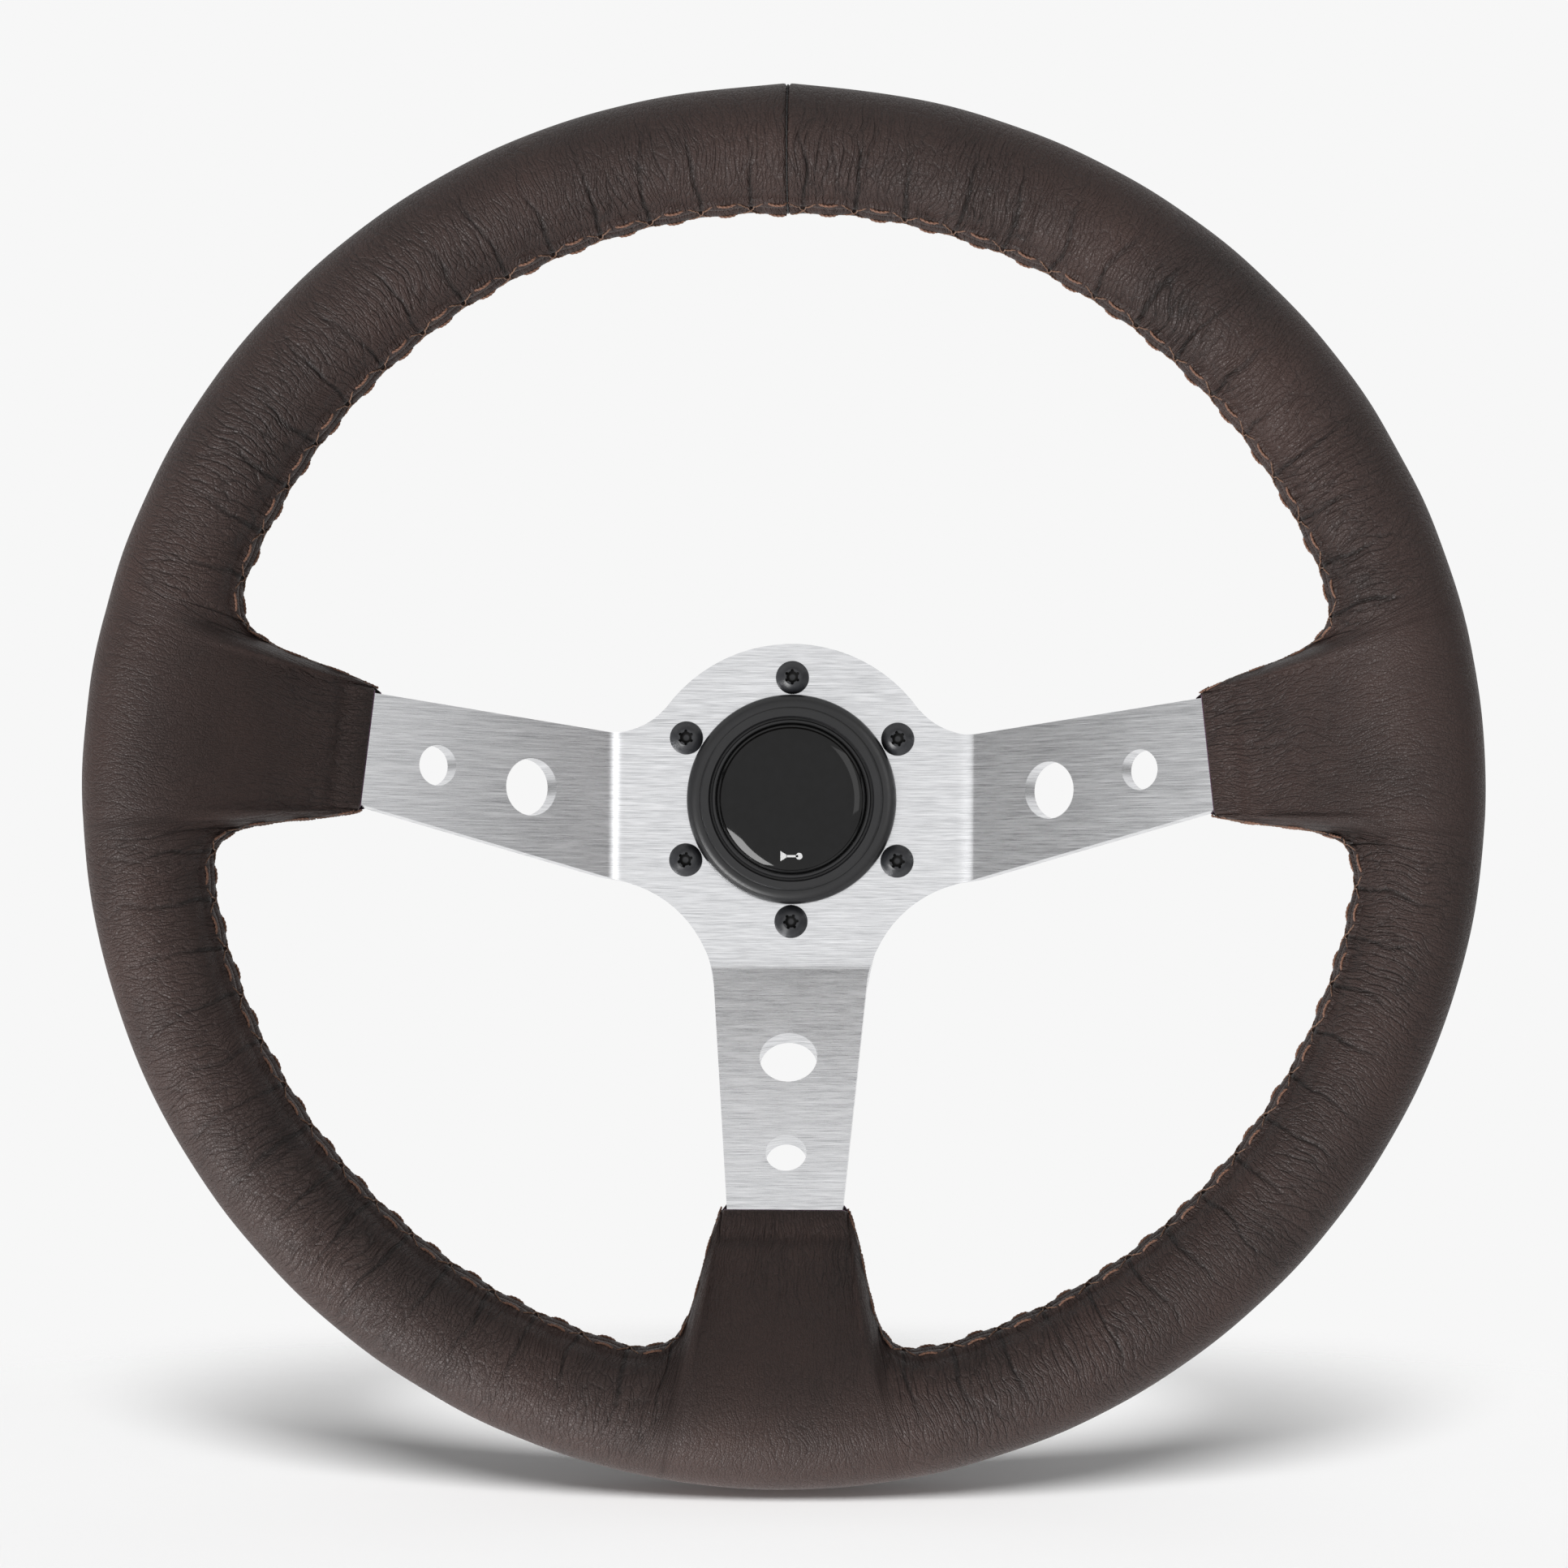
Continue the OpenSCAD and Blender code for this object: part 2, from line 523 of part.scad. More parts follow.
module hub_screws() {
  color(c_dark) stand() for (i = [0:5]) rotate(90 - 60 * i) translate([bolt_circle / 2, 0, pt]) rotate(12 * i) screw_one();
}

module horn_housing() {
  step = 1.6;
  crown = 3.2;
  lip = flange_r - step;
  shelf = well_r + 2.1;
  color(c_dark) stand() difference() {
    union() {
      rotate_extrude($fn = fine) union() {
        polygon([[well_r, house_back + floor_t], [body_r, house_back + floor_t], [body_r, pt], [flange_r, pt],
          [flange_r, pt + step], [lip, pt + step], [lip, trim_base + clear], [shelf, trim_base + clear],
          [shelf, trim_base], [well_r, trim_base]]);
        intersection() {
          translate([flange_r - crown, pt + flange_height - crown]) circle(r = crown, $fn = fine);
          translate([shelf, pt]) square([flange_r - shelf, flange_height + 2]);
        }
      }
      tube_of(4, body_r, house_back, house_back + floor_t);
    }
    for (m = [1, -1]) translate([m * terminal_x, 0, house_back - 1]) cylinder(h = floor_t + 2, r = term_hole_r, $fn = 32);
    tube_of(snap_r, body_r + 3, snap_top - snap_t, snap_top);
  }
}
module rubber_ring() { color([0.06, 0.06, 0.06]) stand() tube_of(body_r, rubber_out, snap_top, seat_h); }
module snap_ring() {
  color(c_alu) stand() difference() {
    tube_of(snap_r, snap_out, snap_top - snap_t, snap_top);
    translate([-3, -body_r - 4, snap_top - snap_t - 1]) cube([6, 8, snap_t + 2]);
  }
}
module trim_ring() {
  color(c_dark) stand() rotate_extrude($fn = fine) union() {
    polygon([[trim_r, trim_base], [well_r + 2, trim_base], [well_r + 2, trim_top - 0.5], [well_r + 1.5, trim_top],
      [trim_r + 0.4, trim_top], [trim_r, trim_top - 0.4]]);
  }
}
// the cap and what moves with it
module at_posts() {
  for (i = [0:post_count - 1]) rotate(90 + 360 * i / post_count) translate([post_at, 0, 0]) children();
}
module horn_cap() {
  color(c_dark) stand() difference() {
    union() {
      rotate_extrude($fn = fine) polygon([[0, cap_under], [cap_r - cap_skirt, cap_under], [cap_r - cap_skirt, trim_base - 4.5],
        [cap_r, trim_base - 4.5], [cap_r, trim_base - cap_lip], [cap_lip_r, trim_base - cap_lip], [cap_lip_r, trim_base],
        [cap_r, trim_base], [cap_r, cap_face - 0.3], [cap_r - 0.3, cap_face], [emblem_r, cap_face],
        [emblem_r, cap_face - disc_t], [0, cap_face - disc_t]]);
      disc(boss_r, cap_under - 7, cap_under + eps);
      at_posts() disc(post_r, plate_high, cap_under + eps);
    }
    at_posts() disc(small_screw_r, plate_high - 1, plate_high + 5);
  }
}
module emblem_disc() { color([0.05, 0.05, 0.05]) stand() disc(emblem_r, cap_face - disc_t, cap_face); }
module emblem_dome() {
  roll = dome_height - 0.1;
  color([0.12, 0.12, 0.13]) stand() translate([0, 0, cap_face]) rotate_extrude($fn = fine) intersection() {
    union() {
      square([emblem_r - roll, dome_height]);
      translate([emblem_r - roll, 0.1]) circle(r = roll, $fn = 64);
      square([emblem_r, 0.1]);
    }
    square([emblem_r, dome_height]);
  }
}
module contact_plate() {
  color(c_brass) stand() difference() {
    tube_of(plate_in, plate_out, plate_low, plate_high);
    at_posts() disc(small_screw_r, plate_low - 1, plate_high + 1);
  }
}
module contact_screws() {
  color(c_brass) stand() at_posts() {
    disc(small_screw_r, plate_low, plate_high + 4.5);
    disc(small_head_r, plate_low - small_head_h, plate_low);
  }
}
module return_spring() {
  n = 14;
  w = spring_wire / 2;
  lo = insul_top + strap_t + w;
  hi = cap_under - w;
  last = spring_turns * n;
  // the first and the last turn lie flat, the others climb
  color(c_alu) stand() run_skin([for (i = [0:last])
    let (a = 360 * i / n, u = i / n, up = min(1, max(0, (u - 0.75) / (spring_turns - 1.5))),
      z = lo + (hi - lo) * up, r = spring_r)
    [for (j = [0:5]) let (q = 60 * j) [(r + w * cos(q)) * cos(a), (r + w * cos(q)) * sin(a), z + w * sin(q)]]]);
}
module terminal_spot(m) { translate([m * terminal_x, 0, 0]) children(); }
module insulator() {
  color([0.45, 0.25, 0.12]) stand() difference() {
    union() {
      disc(well_r - 0.1, insul_top - insul_t, insul_top);
      disc(boss_r, insul_top, insul_top + spigot_h);
    }
    for (m = [1, -1]) terminal_spot(m) disc(term_hole_r, insul_top - insul_t - 1, insul_top + 1);
  }
}
module fixed_contact() {
  color(c_brass) stand() difference() {
    tube_of(ring_in, ring_out, insul_top, ring_contact_top);
    translate([-ring_out - 1, -term_head_r - 1.2, insul_top - 1]) cube([ring_out, 2 * term_head_r + 2.4, 4]);
    terminal_spot(1) disc(term_hole_r, insul_top - 1, ring_contact_top + 1);
  }
}
module ground_strap() {
  color(c_brass) stand() difference() {
    union() {
      disc(strap_r, insul_top, insul_top + strap_t);
      translate([-terminal_x, -term_head_r, insul_top]) cube([terminal_x, 2 * term_head_r, strap_t]);
      terminal_spot(-1) disc(term_head_r, insul_top, insul_top + strap_t);
    }
    disc(boss_r + 0.1, insul_top - 1, insul_top + 2);
    terminal_spot(-1) disc(term_hole_r, insul_top - 1, insul_top + 2);
  }
}
blade_t = 0.8;
blade_w = 6.3;
blade_l = 8.2;
module blade(m) {
  color(c_brass) stand() terminal_spot(m) translate([0, 0, house_back - blade_t]) difference() {
    union() {
      translate([-blade_w / 2, -blade_w / 2, 0]) cube([blade_w, blade_w, blade_t]);
      translate([-blade_w / 2, blade_w / 2 - blade_t, -blade_l]) cube([blade_w, blade_t, blade_l + eps]);
    }
    disc(term_hole_r, -1, 3);
    translate([0, blade_w / 2 + 1, -blade_l + 2.4]) rotate([90, 0, 0]) cylinder(h = 3, d = 1.7, $fn = 24);
  }
}
module signal_terminal() { blade(1); }
module ground_terminal() { blade(-1); }
module terminal_rivets() {
  foot_h = 0.6;
  color(c_brass) stand() {
    for (m = [1, -1]) terminal_spot(m) disc(term_head_r, house_back - blade_t - foot_h, house_back - blade_t);
    terminal_spot(1) disc(term_hole_r, house_back - blade_t, ring_contact_top);
    terminal_spot(-1) disc(term_hole_r, house_back - blade_t, insul_top + strap_t);
    terminal_spot(-1) disc(term_head_r, insul_top + strap_t, insul_top + strap_t + strap_head_h);
  }
}

spoke_frame();
rim_hoop();
rim_rivets();
foam_grip();
leather_cover();
lacing_upper();
lacing_left();
lacing_right();
top_seam();
hub_screws();
horn_housing();
rubber_ring();
trim_ring();
horn_cap();
emblem_disc();
emblem_dome();
contact_plate();
contact_screws();
return_spring();
insulator();
fixed_contact();
ground_strap();
snap_ring();
signal_terminal();
ground_terminal();
terminal_rivets();
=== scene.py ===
import bpy
import bmesh
import math
import numpy as np
from mathutils import Matrix, Vector


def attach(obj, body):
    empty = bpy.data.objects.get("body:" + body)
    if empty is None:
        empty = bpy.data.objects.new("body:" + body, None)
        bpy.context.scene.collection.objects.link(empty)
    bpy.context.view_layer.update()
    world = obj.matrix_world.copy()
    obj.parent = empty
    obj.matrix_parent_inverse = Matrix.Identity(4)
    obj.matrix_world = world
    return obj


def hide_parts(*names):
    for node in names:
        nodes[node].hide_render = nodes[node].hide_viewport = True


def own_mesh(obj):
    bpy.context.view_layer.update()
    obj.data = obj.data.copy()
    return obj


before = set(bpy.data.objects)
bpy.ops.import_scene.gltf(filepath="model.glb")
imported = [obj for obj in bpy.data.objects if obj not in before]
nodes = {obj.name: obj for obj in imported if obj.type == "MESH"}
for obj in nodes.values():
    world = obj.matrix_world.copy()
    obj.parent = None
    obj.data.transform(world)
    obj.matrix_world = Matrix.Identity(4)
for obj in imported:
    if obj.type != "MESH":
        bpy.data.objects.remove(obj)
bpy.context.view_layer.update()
scene = bpy.context.scene
scene.view_settings.view_transform = "Standard"

# ---------------------------------------------------------------- sizes, in millimetres, as in the solids
PLATE = 5.0
DISH = 76.0
RIM_H = PLATE + DISH
GRIP = 15.0
RING = 160.0
LEATHER = 1.2
INNER = RING - GRIP
SIDE_BEND, BOTTOM_BEND = 50.0, 46.5
SIDE_CUFF, BOTTOM_CUFF, CUFF = INNER - 33.6, INNER - 35.3, 9.5
CLIMB, REACH = 64.0, RING - 13.5 - SIDE_BEND
TILT = math.atan(CLIMB / REACH) + math.asin(9 / math.hypot(CLIMB, REACH))
TA, CA, SA = math.tan(TILT), math.cos(TILT), math.sin(TILT)
SIDE_BARE, BOTTOM_BARE = (SIDE_CUFF - SIDE_BEND) / CA, (BOTTOM_CUFF - BOTTOM_BEND) / CA
SIDE_TOP, SIDE_TOP_RISE = 18.7, (26.2 - 18.7) / SIDE_BARE
SIDE_LOW, SIDE_LOW_RISE = 23.4, (23.4 - 4.1) / SIDE_BARE
BOTTOM_HALF, BOTTOM_TAPER = 22.5, (22.5 - 15.25) / BOTTOM_BARE
STITCH = 12.6            # one stitch along the inner edge
SEAM_FORWARD = 1.6       # the groove of the seam lies this far in front of the rim's middle
INNER_WALL = 1.1         # depth of the leather's inner wall under its skin
LIP_START = 1.4          # way from the bottom of the groove to where the threads are counted from


def plate_edges():
    """Angles of the plate's edges where it enters the sleeves, seen from the wheel axis."""
    s = SIDE_BARE - 2.5
    hi = math.atan((SIDE_TOP + SIDE_TOP_RISE * s) / (SIDE_BEND + s * CA))
    s += 4
    lo = math.atan((-SIDE_LOW + SIDE_LOW_RISE * s) / (SIDE_BEND + s * CA))
    half = math.atan((BOTTOM_HALF - BOTTOM_TAPER * BOTTOM_BARE) / BOTTOM_CUFF)
    return math.degrees(hi), math.degrees(lo), math.degrees(half)


EDGE_HI, EDGE_LO, EDGE_B = plate_edges()
MID = (EDGE_HI + EDGE_LO) / 2
CUFF_SIDE_R = SIDE_CUFF / math.cos(math.radians((EDGE_HI - EDGE_LO) / 2))
CUFF_BOTTOM_R = BOTTOM_CUFF / math.cos(math.radians(EDGE_B))


def smooth(x):
    x = np.clip(x, 0.0, 1.0)
    return x * x * (3 - 2 * x)


def mixed(a, b, w):
    return a * (1 - w) + b * w


def gentle(x, xs, ys):
    """A monotone curve through the points xs, ys."""
    xs, ys = np.array(xs, float), np.array(ys, float)
    h, d = np.diff(xs), np.diff(ys) / np.diff(xs)
    m = np.zeros(len(xs))
    for i in range(1, len(xs) - 1):
        if d[i - 1] * d[i] > 0:
            w1, w2 = 2 * h[i] + h[i - 1], h[i] + 2 * h[i - 1]
            m[i] = (w1 + w2) / (w1 / d[i - 1] + w2 / d[i])
    x = np.clip(x, xs[0], xs[-1])
    i = np.clip(np.searchsorted(xs, x, side="right") - 1, 0, len(xs) - 2)
    t = (x - xs[i]) / h[i]
    return ((2 * t**3 - 3 * t**2 + 1) * ys[i] + (t**3 - 2 * t**2 + t) * h[i] * m[i]
            + (-2 * t**3 + 3 * t**2) * ys[i + 1] + (t**3 - t**2) * h[i] * m[i + 1])


def seam_path(a):
    """For wheel angles a in degrees: seam radius, angle to the nearest spoke, its bend's distance from the axis,
    share on the bare plate, share of sleeve, and degrees off the edge of the spoke."""
    a = np.asarray(a, float) % 360
    right = (a + 180) % 360 - 180
    left = (180 - a + 180) % 360 - 180
    down = (a - 270 + 180) % 360 - 180
    off_r = np.maximum(right - EDGE_HI, EDGE_LO - right)
    off_l = np.maximum(left - EDGE_HI, EDGE_LO - left)
    off_d = np.abs(down) - EDGE_B
    off = np.minimum(np.minimum(off_r, off_l), off_d)
    side = off < off_d
    b = np.where(off_r <= off_l, right, left)
    b = np.where(side, b, down)
    cuff = np.where(side, SIDE_CUFF, BOTTOM_CUFF)
    bend = np.where(side, SIDE_BEND, BOTTOM_BEND)
    on_cuff = cuff / np.cos(np.radians(b - np.where(side, MID, 0)))
    xs = [0.25, 0.75, 1.15, 1.55, 1.8, 2.2, 3, 4.2, 6, 8.5]
    out = []
    for c in (CUFF_SIDE_R, CUFF_BOTTOM_R):
        ys = [c, c + 0.9, c + 4, c + 9.5, c + (INNER - c) * 0.52,
              INNER - 8.5, INNER - 4.2, INNER - 2, INNER - 0.6, INNER]
        out.append(gentle(off, xs, ys))
    r = np.where(off <= 0.25, on_cuff, np.where(side, out[0], out[1]))
    on_plate = 1 - smooth((off - 0.25) / 0.5)
    sleeve = smooth((INNER - r) / (INNER - CUFF_SIDE_R - 8))
    return r, b, bend, on_plate, sleeve, off


def plate_face(b, r, bend):
    """Height of the plate's front face at radius r."""
    return PLATE + (r * np.cos(np.radians(b)) - bend) * TA


def bezier(p, t):
    a, b, c, d = [q[:, None, :] for q in p]
    t = np.asarray(t)[None, :, None]
    return a * (1 - t) ** 3 + 3 * b * t * (1 - t) ** 2 + 3 * c * t * t * (1 - t) + d * t**3


def pair(x, y):
    return np.stack([np.broadcast_to(x, np.shape(y)) if np.ndim(x) == 0 else x,
                     np.broadcast_to(y, np.shape(x)) if np.ndim(y) == 0 else y], -1)


# points on the lip, on the swell behind it and on the round of the grip
N_LIP, N_SWELL, N_TUBE = 9, 17, 15


def groove_height(r, b, bend, w):
    """Height of the seam's groove: on the middle of the plate at a spoke, else just before the rim's middle."""
    on_spoke = smooth((INNER - r) / 8)
    return mixed(RIM_H + 0 * r, plate_face(b, r, bend) - PLATE / CA / 2, on_spoke) + SEAM_FORWARD * (1 - w)


def half_section(a, way):
    """One side of the leather section, from the groove of the seam to the outermost point, as radius and height."""
    r, b, bend, on, w, _ = seam_path(a)
    half = PLATE / CA / 2
    mid = groove_height(r, b, bend, w)
    r1p = r + CUFF
    mid1p = plate_face(b, r1p, bend) - half
    lip = LEATHER / CA
    # cuff on the bare plate: cut edge, flat band, crease
    e0p = pair(r, mid + way * (half + lip))
    e1p = pair(r1p, mid1p + way * (half + lip))
    # closed seam: rolled edges that meet in a groove
    g1 = mixed(2.9, 2.6, w) + (SEAM_FORWARD * (1 - w) if way < 0 else 0)
    e1s = pair(r + 1.5, mid + 1.5 * TA * w + way * (g1 + LEATHER * 0.9))
    t = np.linspace(0, 1, N_LIP)
    slope = np.stack([CA + 0 * r, SA + 0 * r], -1)
    seam = bezier([pair(r + 1.3, mid + 1.3 * TA * w + way * 0.1), pair(r - 0.55, mid - 0.4 * w + way * 0.35),
                   pair(r - 0.25, mid + way * (g1 + 0.2)), e1s], t)
    band = e0p[:, None, :] * (1 - t[None, :, None]) + e1p[:, None, :] * t[None, :, None]
    band[:, 0] = pair(r + 0.02, mid + way * (half + 0.04))
    band[:, 1] = pair(r - 0.02, mid + way * (half + lip * 0.75))
    band[:, 2] = e0p + 0.35 * slope
    lips = mixed(seam, band, on[:, None, None])
    e1 = mixed(e1s, e1p, on[:, None])
    front = way > 0
    at = np.radians(115 - 20 * w if front else 90 + 0 * w)
    b3 = pair(RING + GRIP * np.cos(at), RIM_H + way * GRIP * np.sin(at))
    lead = GRIP * mixed(0.3 if front else 0.42, 0.8, w)
    out = np.array([0.25, 0.97 * way])[None, :]
    b1 = e1 + lead[:, None] * mixed(out, slope, w[:, None])
    # the last handle is as long as the tube's own bend asks, so that no line shows where the two meet
    back = pair(-np.sin(at), way * np.cos(at))
    away = np.abs((b1 - b3)[:, 0] * back[:, 1] - (b1 - b3)[:, 1] * back[:, 0])
    span = np.clip(np.sqrt(2 / 3 * away * GRIP), 0.3 * GRIP, 1.2 * GRIP)
    b2 = b3 + span[:, None] * back
    swell = bezier([e1, b1, b2, b3], np.linspace(0, 1, N_SWELL + 1)[1:])
    q = at[:, None] * np.linspace(1, 0, N_TUBE + 1)[None, 1:]
    tube = np.stack([RING + GRIP * np.cos(q), RIM_H + way * GRIP * np.sin(q)], -1)
    return np.concatenate([lips, swell, tube], 1)


# ---------------------------------------------------------------- stitched runs along the seam
def fine_seam():
    """Wheel angles in fine steps over two turns, and the length of the seam up to each."""
    a = np.arange(0, 720, 0.05)
    r, b, bend, _, w, _ = seam_path(a)
    p = np.stack([r * np.cos(np.radians(a)), r * np.sin(np.radians(a)), groove_height(r, b, bend, w)], -1)
    step = np.r_[0, np.linalg.norm(np.diff(p, axis=0), axis=1)]
    return a, np.cumsum(step)


SEAM_A, SEAM_S = fine_seam()
RUNS = {
    "lacing_upper": (EDGE_HI + 0.8, 180 - EDGE_HI - 0.8),
    "lacing_left": (180 - EDGE_LO + 0.8, 270 - EDGE_B - 0.8),
    "lacing_right": (270 + EDGE_B + 0.8, 360 + EDGE_LO - 0.8),
}
RUN_S = {}
for run, (first, last) in RUNS.items():
    s0, s1 = np.interp([first, last], SEAM_A, SEAM_S)
    count = round((s1 - s0) / STITCH)
    RUN_S[run] = (s0, s1, count, (s1 - s0) / count)


def stitch_phase(a):
    """At wheel angle a: share of the way through a stitch, 1 where the seam is laced, stitches since the start."""
    a = np.asarray(a, float) % 360
    phase, laced, knots = np.zeros_like(a), np.zeros_like(a), np.zeros_like(a)
    for run, (first, last) in RUNS.items():
        s0, s1, _, pitch = RUN_S[run]
        turned = np.where(a < first, a + 360, a)
        inside = (turned >= first) & (turned <= last)
        s = np.interp(turned, SEAM_A, SEAM_S) - s0
        edge = smooth(s / 6) * smooth((s1 - s0 - s) / 6)
        phase = np.where(inside, (s / pitch) % 1, phase)
        knots = np.where(inside, s / pitch, knots)
        laced = np.where(inside, edge, laced)
    return phase, laced, knots


def ripple(seed, x, n):
    """A smooth wandering line around the wheel, the same at 0 and 360 degrees."""
    rng = np.random.default_rng(seed)
    y = np.zeros_like(x)
    for k in range(3, n):
        y += rng.normal() * np.cos(k * x + rng.uniform(0, 6.283)) / math.sqrt(n)
    return y


def skin(a):
    """Outer skin for wheel angles a: of the front and the back half the points, way from the groove and normals."""
    a = np.asarray(a, float)
    on = seam_path(a)[3]
    phase, laced, _ = stitch_phase(a)
    rad = np.radians(a)
    out = []
    for way in (1, -1):
        p = half_section(a, way)
        step = np.linalg.norm(np.diff(p, axis=1), axis=2)
        v = np.concatenate([np.zeros((len(a), 1)), np.cumsum(step, 1)], 1)
        tangent = np.gradient(p, axis=1)
        normal = np.stack([-tangent[..., 1], tangent[..., 0]], -1) * way
        normal /= np.maximum(np.linalg.norm(normal, axis=2, keepdims=True), 1e-9)
        # leather swells over each stitch and is drawn in at the crossings
        swell = 0.27 * np.cos(2 * np.pi * (phase - 0.23)) - 0.05
        d = (laced * swell)[:, None] * np.exp(-((v - 2.2) / 3.8) ** 2)
        # a long shallow unevenness of the hand-stretched leather
        d += 0.07 * ripple(3 + way, rad, 46)[:, None] * smooth(v / 8)
        # padding ends behind the cuff
        past = v - (CUFF + 1.0)
        d += (on * 0.75)[:, None] * (1 - np.exp(-np.maximum(past, 0) / 1.8)) * np.exp(-np.maximum(past, 0) / 26)
        d -= (on * 0.5)[:, None] * np.exp(-((v - CUFF + 0.4) / 1.5) ** 2)
        # butt seam at twelve o'clock: two rolled edges and a line between them
        u = ((a - 90 + 180) % 360 - 180) * math.pi / 180 * RING
        d += (0.8 * np.exp(-np.abs(u) / 7.5) - 0.95 * np.exp(-(u / 0.42) ** 2))[:, None] * smooth((v - 0.5) / 3)
        out.append((p + d[..., None] * normal, v, normal))
    return out


# ---------------------------------------------------------------- small helpers for meshes
def piece(name, bm, *materials, smooth_faces=True):
    bmesh.ops.recalc_face_normals(bm, faces=bm.faces)
    if bm.calc_volume(signed=True) < 0:
        bmesh.ops.reverse_faces(bm, faces=bm.faces)
    mesh = bpy.data.meshes.new(name)
    bm.to_mesh(mesh)
    bm.free()
    for m in materials:
        mesh.materials.append(m)
    if smooth_faces:
        mesh.polygons.foreach_set("use_smooth", [True] * len(mesh.polygons))
    obj = bpy.data.objects.new(name, mesh)
    scene.collection.objects.link(obj)
    return obj


def to_world(r, a, h):
    """Wheel radius, angle in radians and height in millimetres to the shared frame in metres."""
    return np.stack([r * np.cos(a), -h, r * np.sin(a)], -1) * 0.001


# ---------------------------------------------------------------- finishes
class Finish:
    """A material and short calls for its nodes."""

    def __init__(self, name, colour, rough=0.5, metal=0.0, **sockets):
        self.mat = bpy.data.materials.new(name)
        self.mat.use_nodes = True
        self.nt = self.mat.node_tree
        self.shader = self.nt.nodes["Principled BSDF"]
        self.put("Base Color", (*colour, 1))
        self.put("Roughness", rough)
        self.put("Metallic", metal)
        for k, v in sockets.items():
            self.put(k.replace("_", " "), v)
        self.here = self.nt.nodes.new("ShaderNodeTexCoord")

    def put(self, socket, value):
        self.shader.inputs[socket].default_value = value

    def node(self, kind, **values):
        n = self.nt.nodes.new("ShaderNode" + kind)
        for k, v in values.items():
            if hasattr(n, k):
                setattr(n, k, v)
            else:
                n.inputs[k.replace("_", " ")].default_value = v
        return n

    def link(self, a, b):
        self.nt.links.new(a, b)

    def stretched(self, scale, shift=(0, 0, 0)):
        m = self.node("Mapping")
        m.inputs["Scale"].default_value = scale
        m.inputs["Location"].default_value = shift
        self.link(self.here.outputs["Object"], m.inputs["Vector"])
        return m.outputs["Vector"]

    def scaled(self, vector, scale):
        m = self.node("Mapping")
        m.inputs["Scale"].default_value = scale
        self.link(vector, m.inputs["Vector"])
        return m.outputs["Vector"]

    def warped(self, vector, scale, by):
        """The vector, pushed about by a soft noise."""
        n = self.node("TexNoise", Scale=scale, Detail=2.0)
        self.link(vector, n.inputs["Vector"])
        push = self.node("VectorMath", operation="MULTIPLY_ADD")
        self.link(n.outputs["Color"], push.inputs[0])
        push.inputs[1].default_value = (by, by, by)
        self.link(vector, push.inputs[2])
        return push.outputs[0]

    def noise(self, vector, scale, detail=3.0, rough=0.55):
        n = self.node("TexNoise", Scale=scale, Detail=detail, Roughness=rough)
        self.link(vector, n.inputs["Vector"])
        return n.outputs["Fac"]

    def cells(self, vector, scale, dims="3D"):
        """Distance to the edge of the cell that the vector is in."""
        n = self.node("TexVoronoi", feature="DISTANCE_TO_EDGE", voronoi_dimensions=dims, Scale=scale)
        self.link(vector, n.inputs["Vector"])
        return n.outputs["Distance"]

    def math(self, how, a, b=0.5, c=0.5):
        n = self.node("Math", operation=how)
        for i, v in enumerate((a, b, c)):
            if isinstance(v, (int, float)):
                n.inputs[i].default_value = v
            else:
                self.link(v, n.inputs[i])
        return n.outputs[0]

    def ranged(self, x, a, b, c=0.0, d=1.0):
        n = self.node("MapRange", interpolation_type="SMOOTHSTEP")
        self.link(x, n.inputs["Value"])
        for k, v in zip(("From Min", "From Max", "To Min", "To Max"), (a, b, c, d)):
            n.inputs[k].default_value = v
        return n.outputs["Result"]

    def tint(self, x, *stops):
        """Colours along x, given as (place, colour)."""
        n = self.node("ValToRGB")
        ramp = n.color_ramp
        while len(ramp.elements) < len(stops):
            ramp.elements.new(0.5)
        for e, (at, c) in zip(ramp.elements, stops):
            e.position, e.color = at, (*c, 1)
        self.link(x, n.inputs["Fac"])
        self.link(n.outputs["Color"], self.shader.inputs["Base Color"])

    def rough(self, x, low, high):
        self.link(self.ranged(x, 0, 1, low, high), self.shader.inputs["Roughness"])

    def bump(self, height, depth, strength=1.0):
        n = self.node("Bump", Strength=strength, Distance=depth)
        self.link(height, n.inputs["Height"])
        self.link(n.outputs["Normal"], self.shader.inputs["Normal"])


def srgb(*c):
    """A colour as seen on a screen, 0 to 255, made linear."""
    return tuple((v / 255 / 12.92) if v <= 10 else ((v / 255 + 0.055) / 1.055) ** 2.4 for v in c)


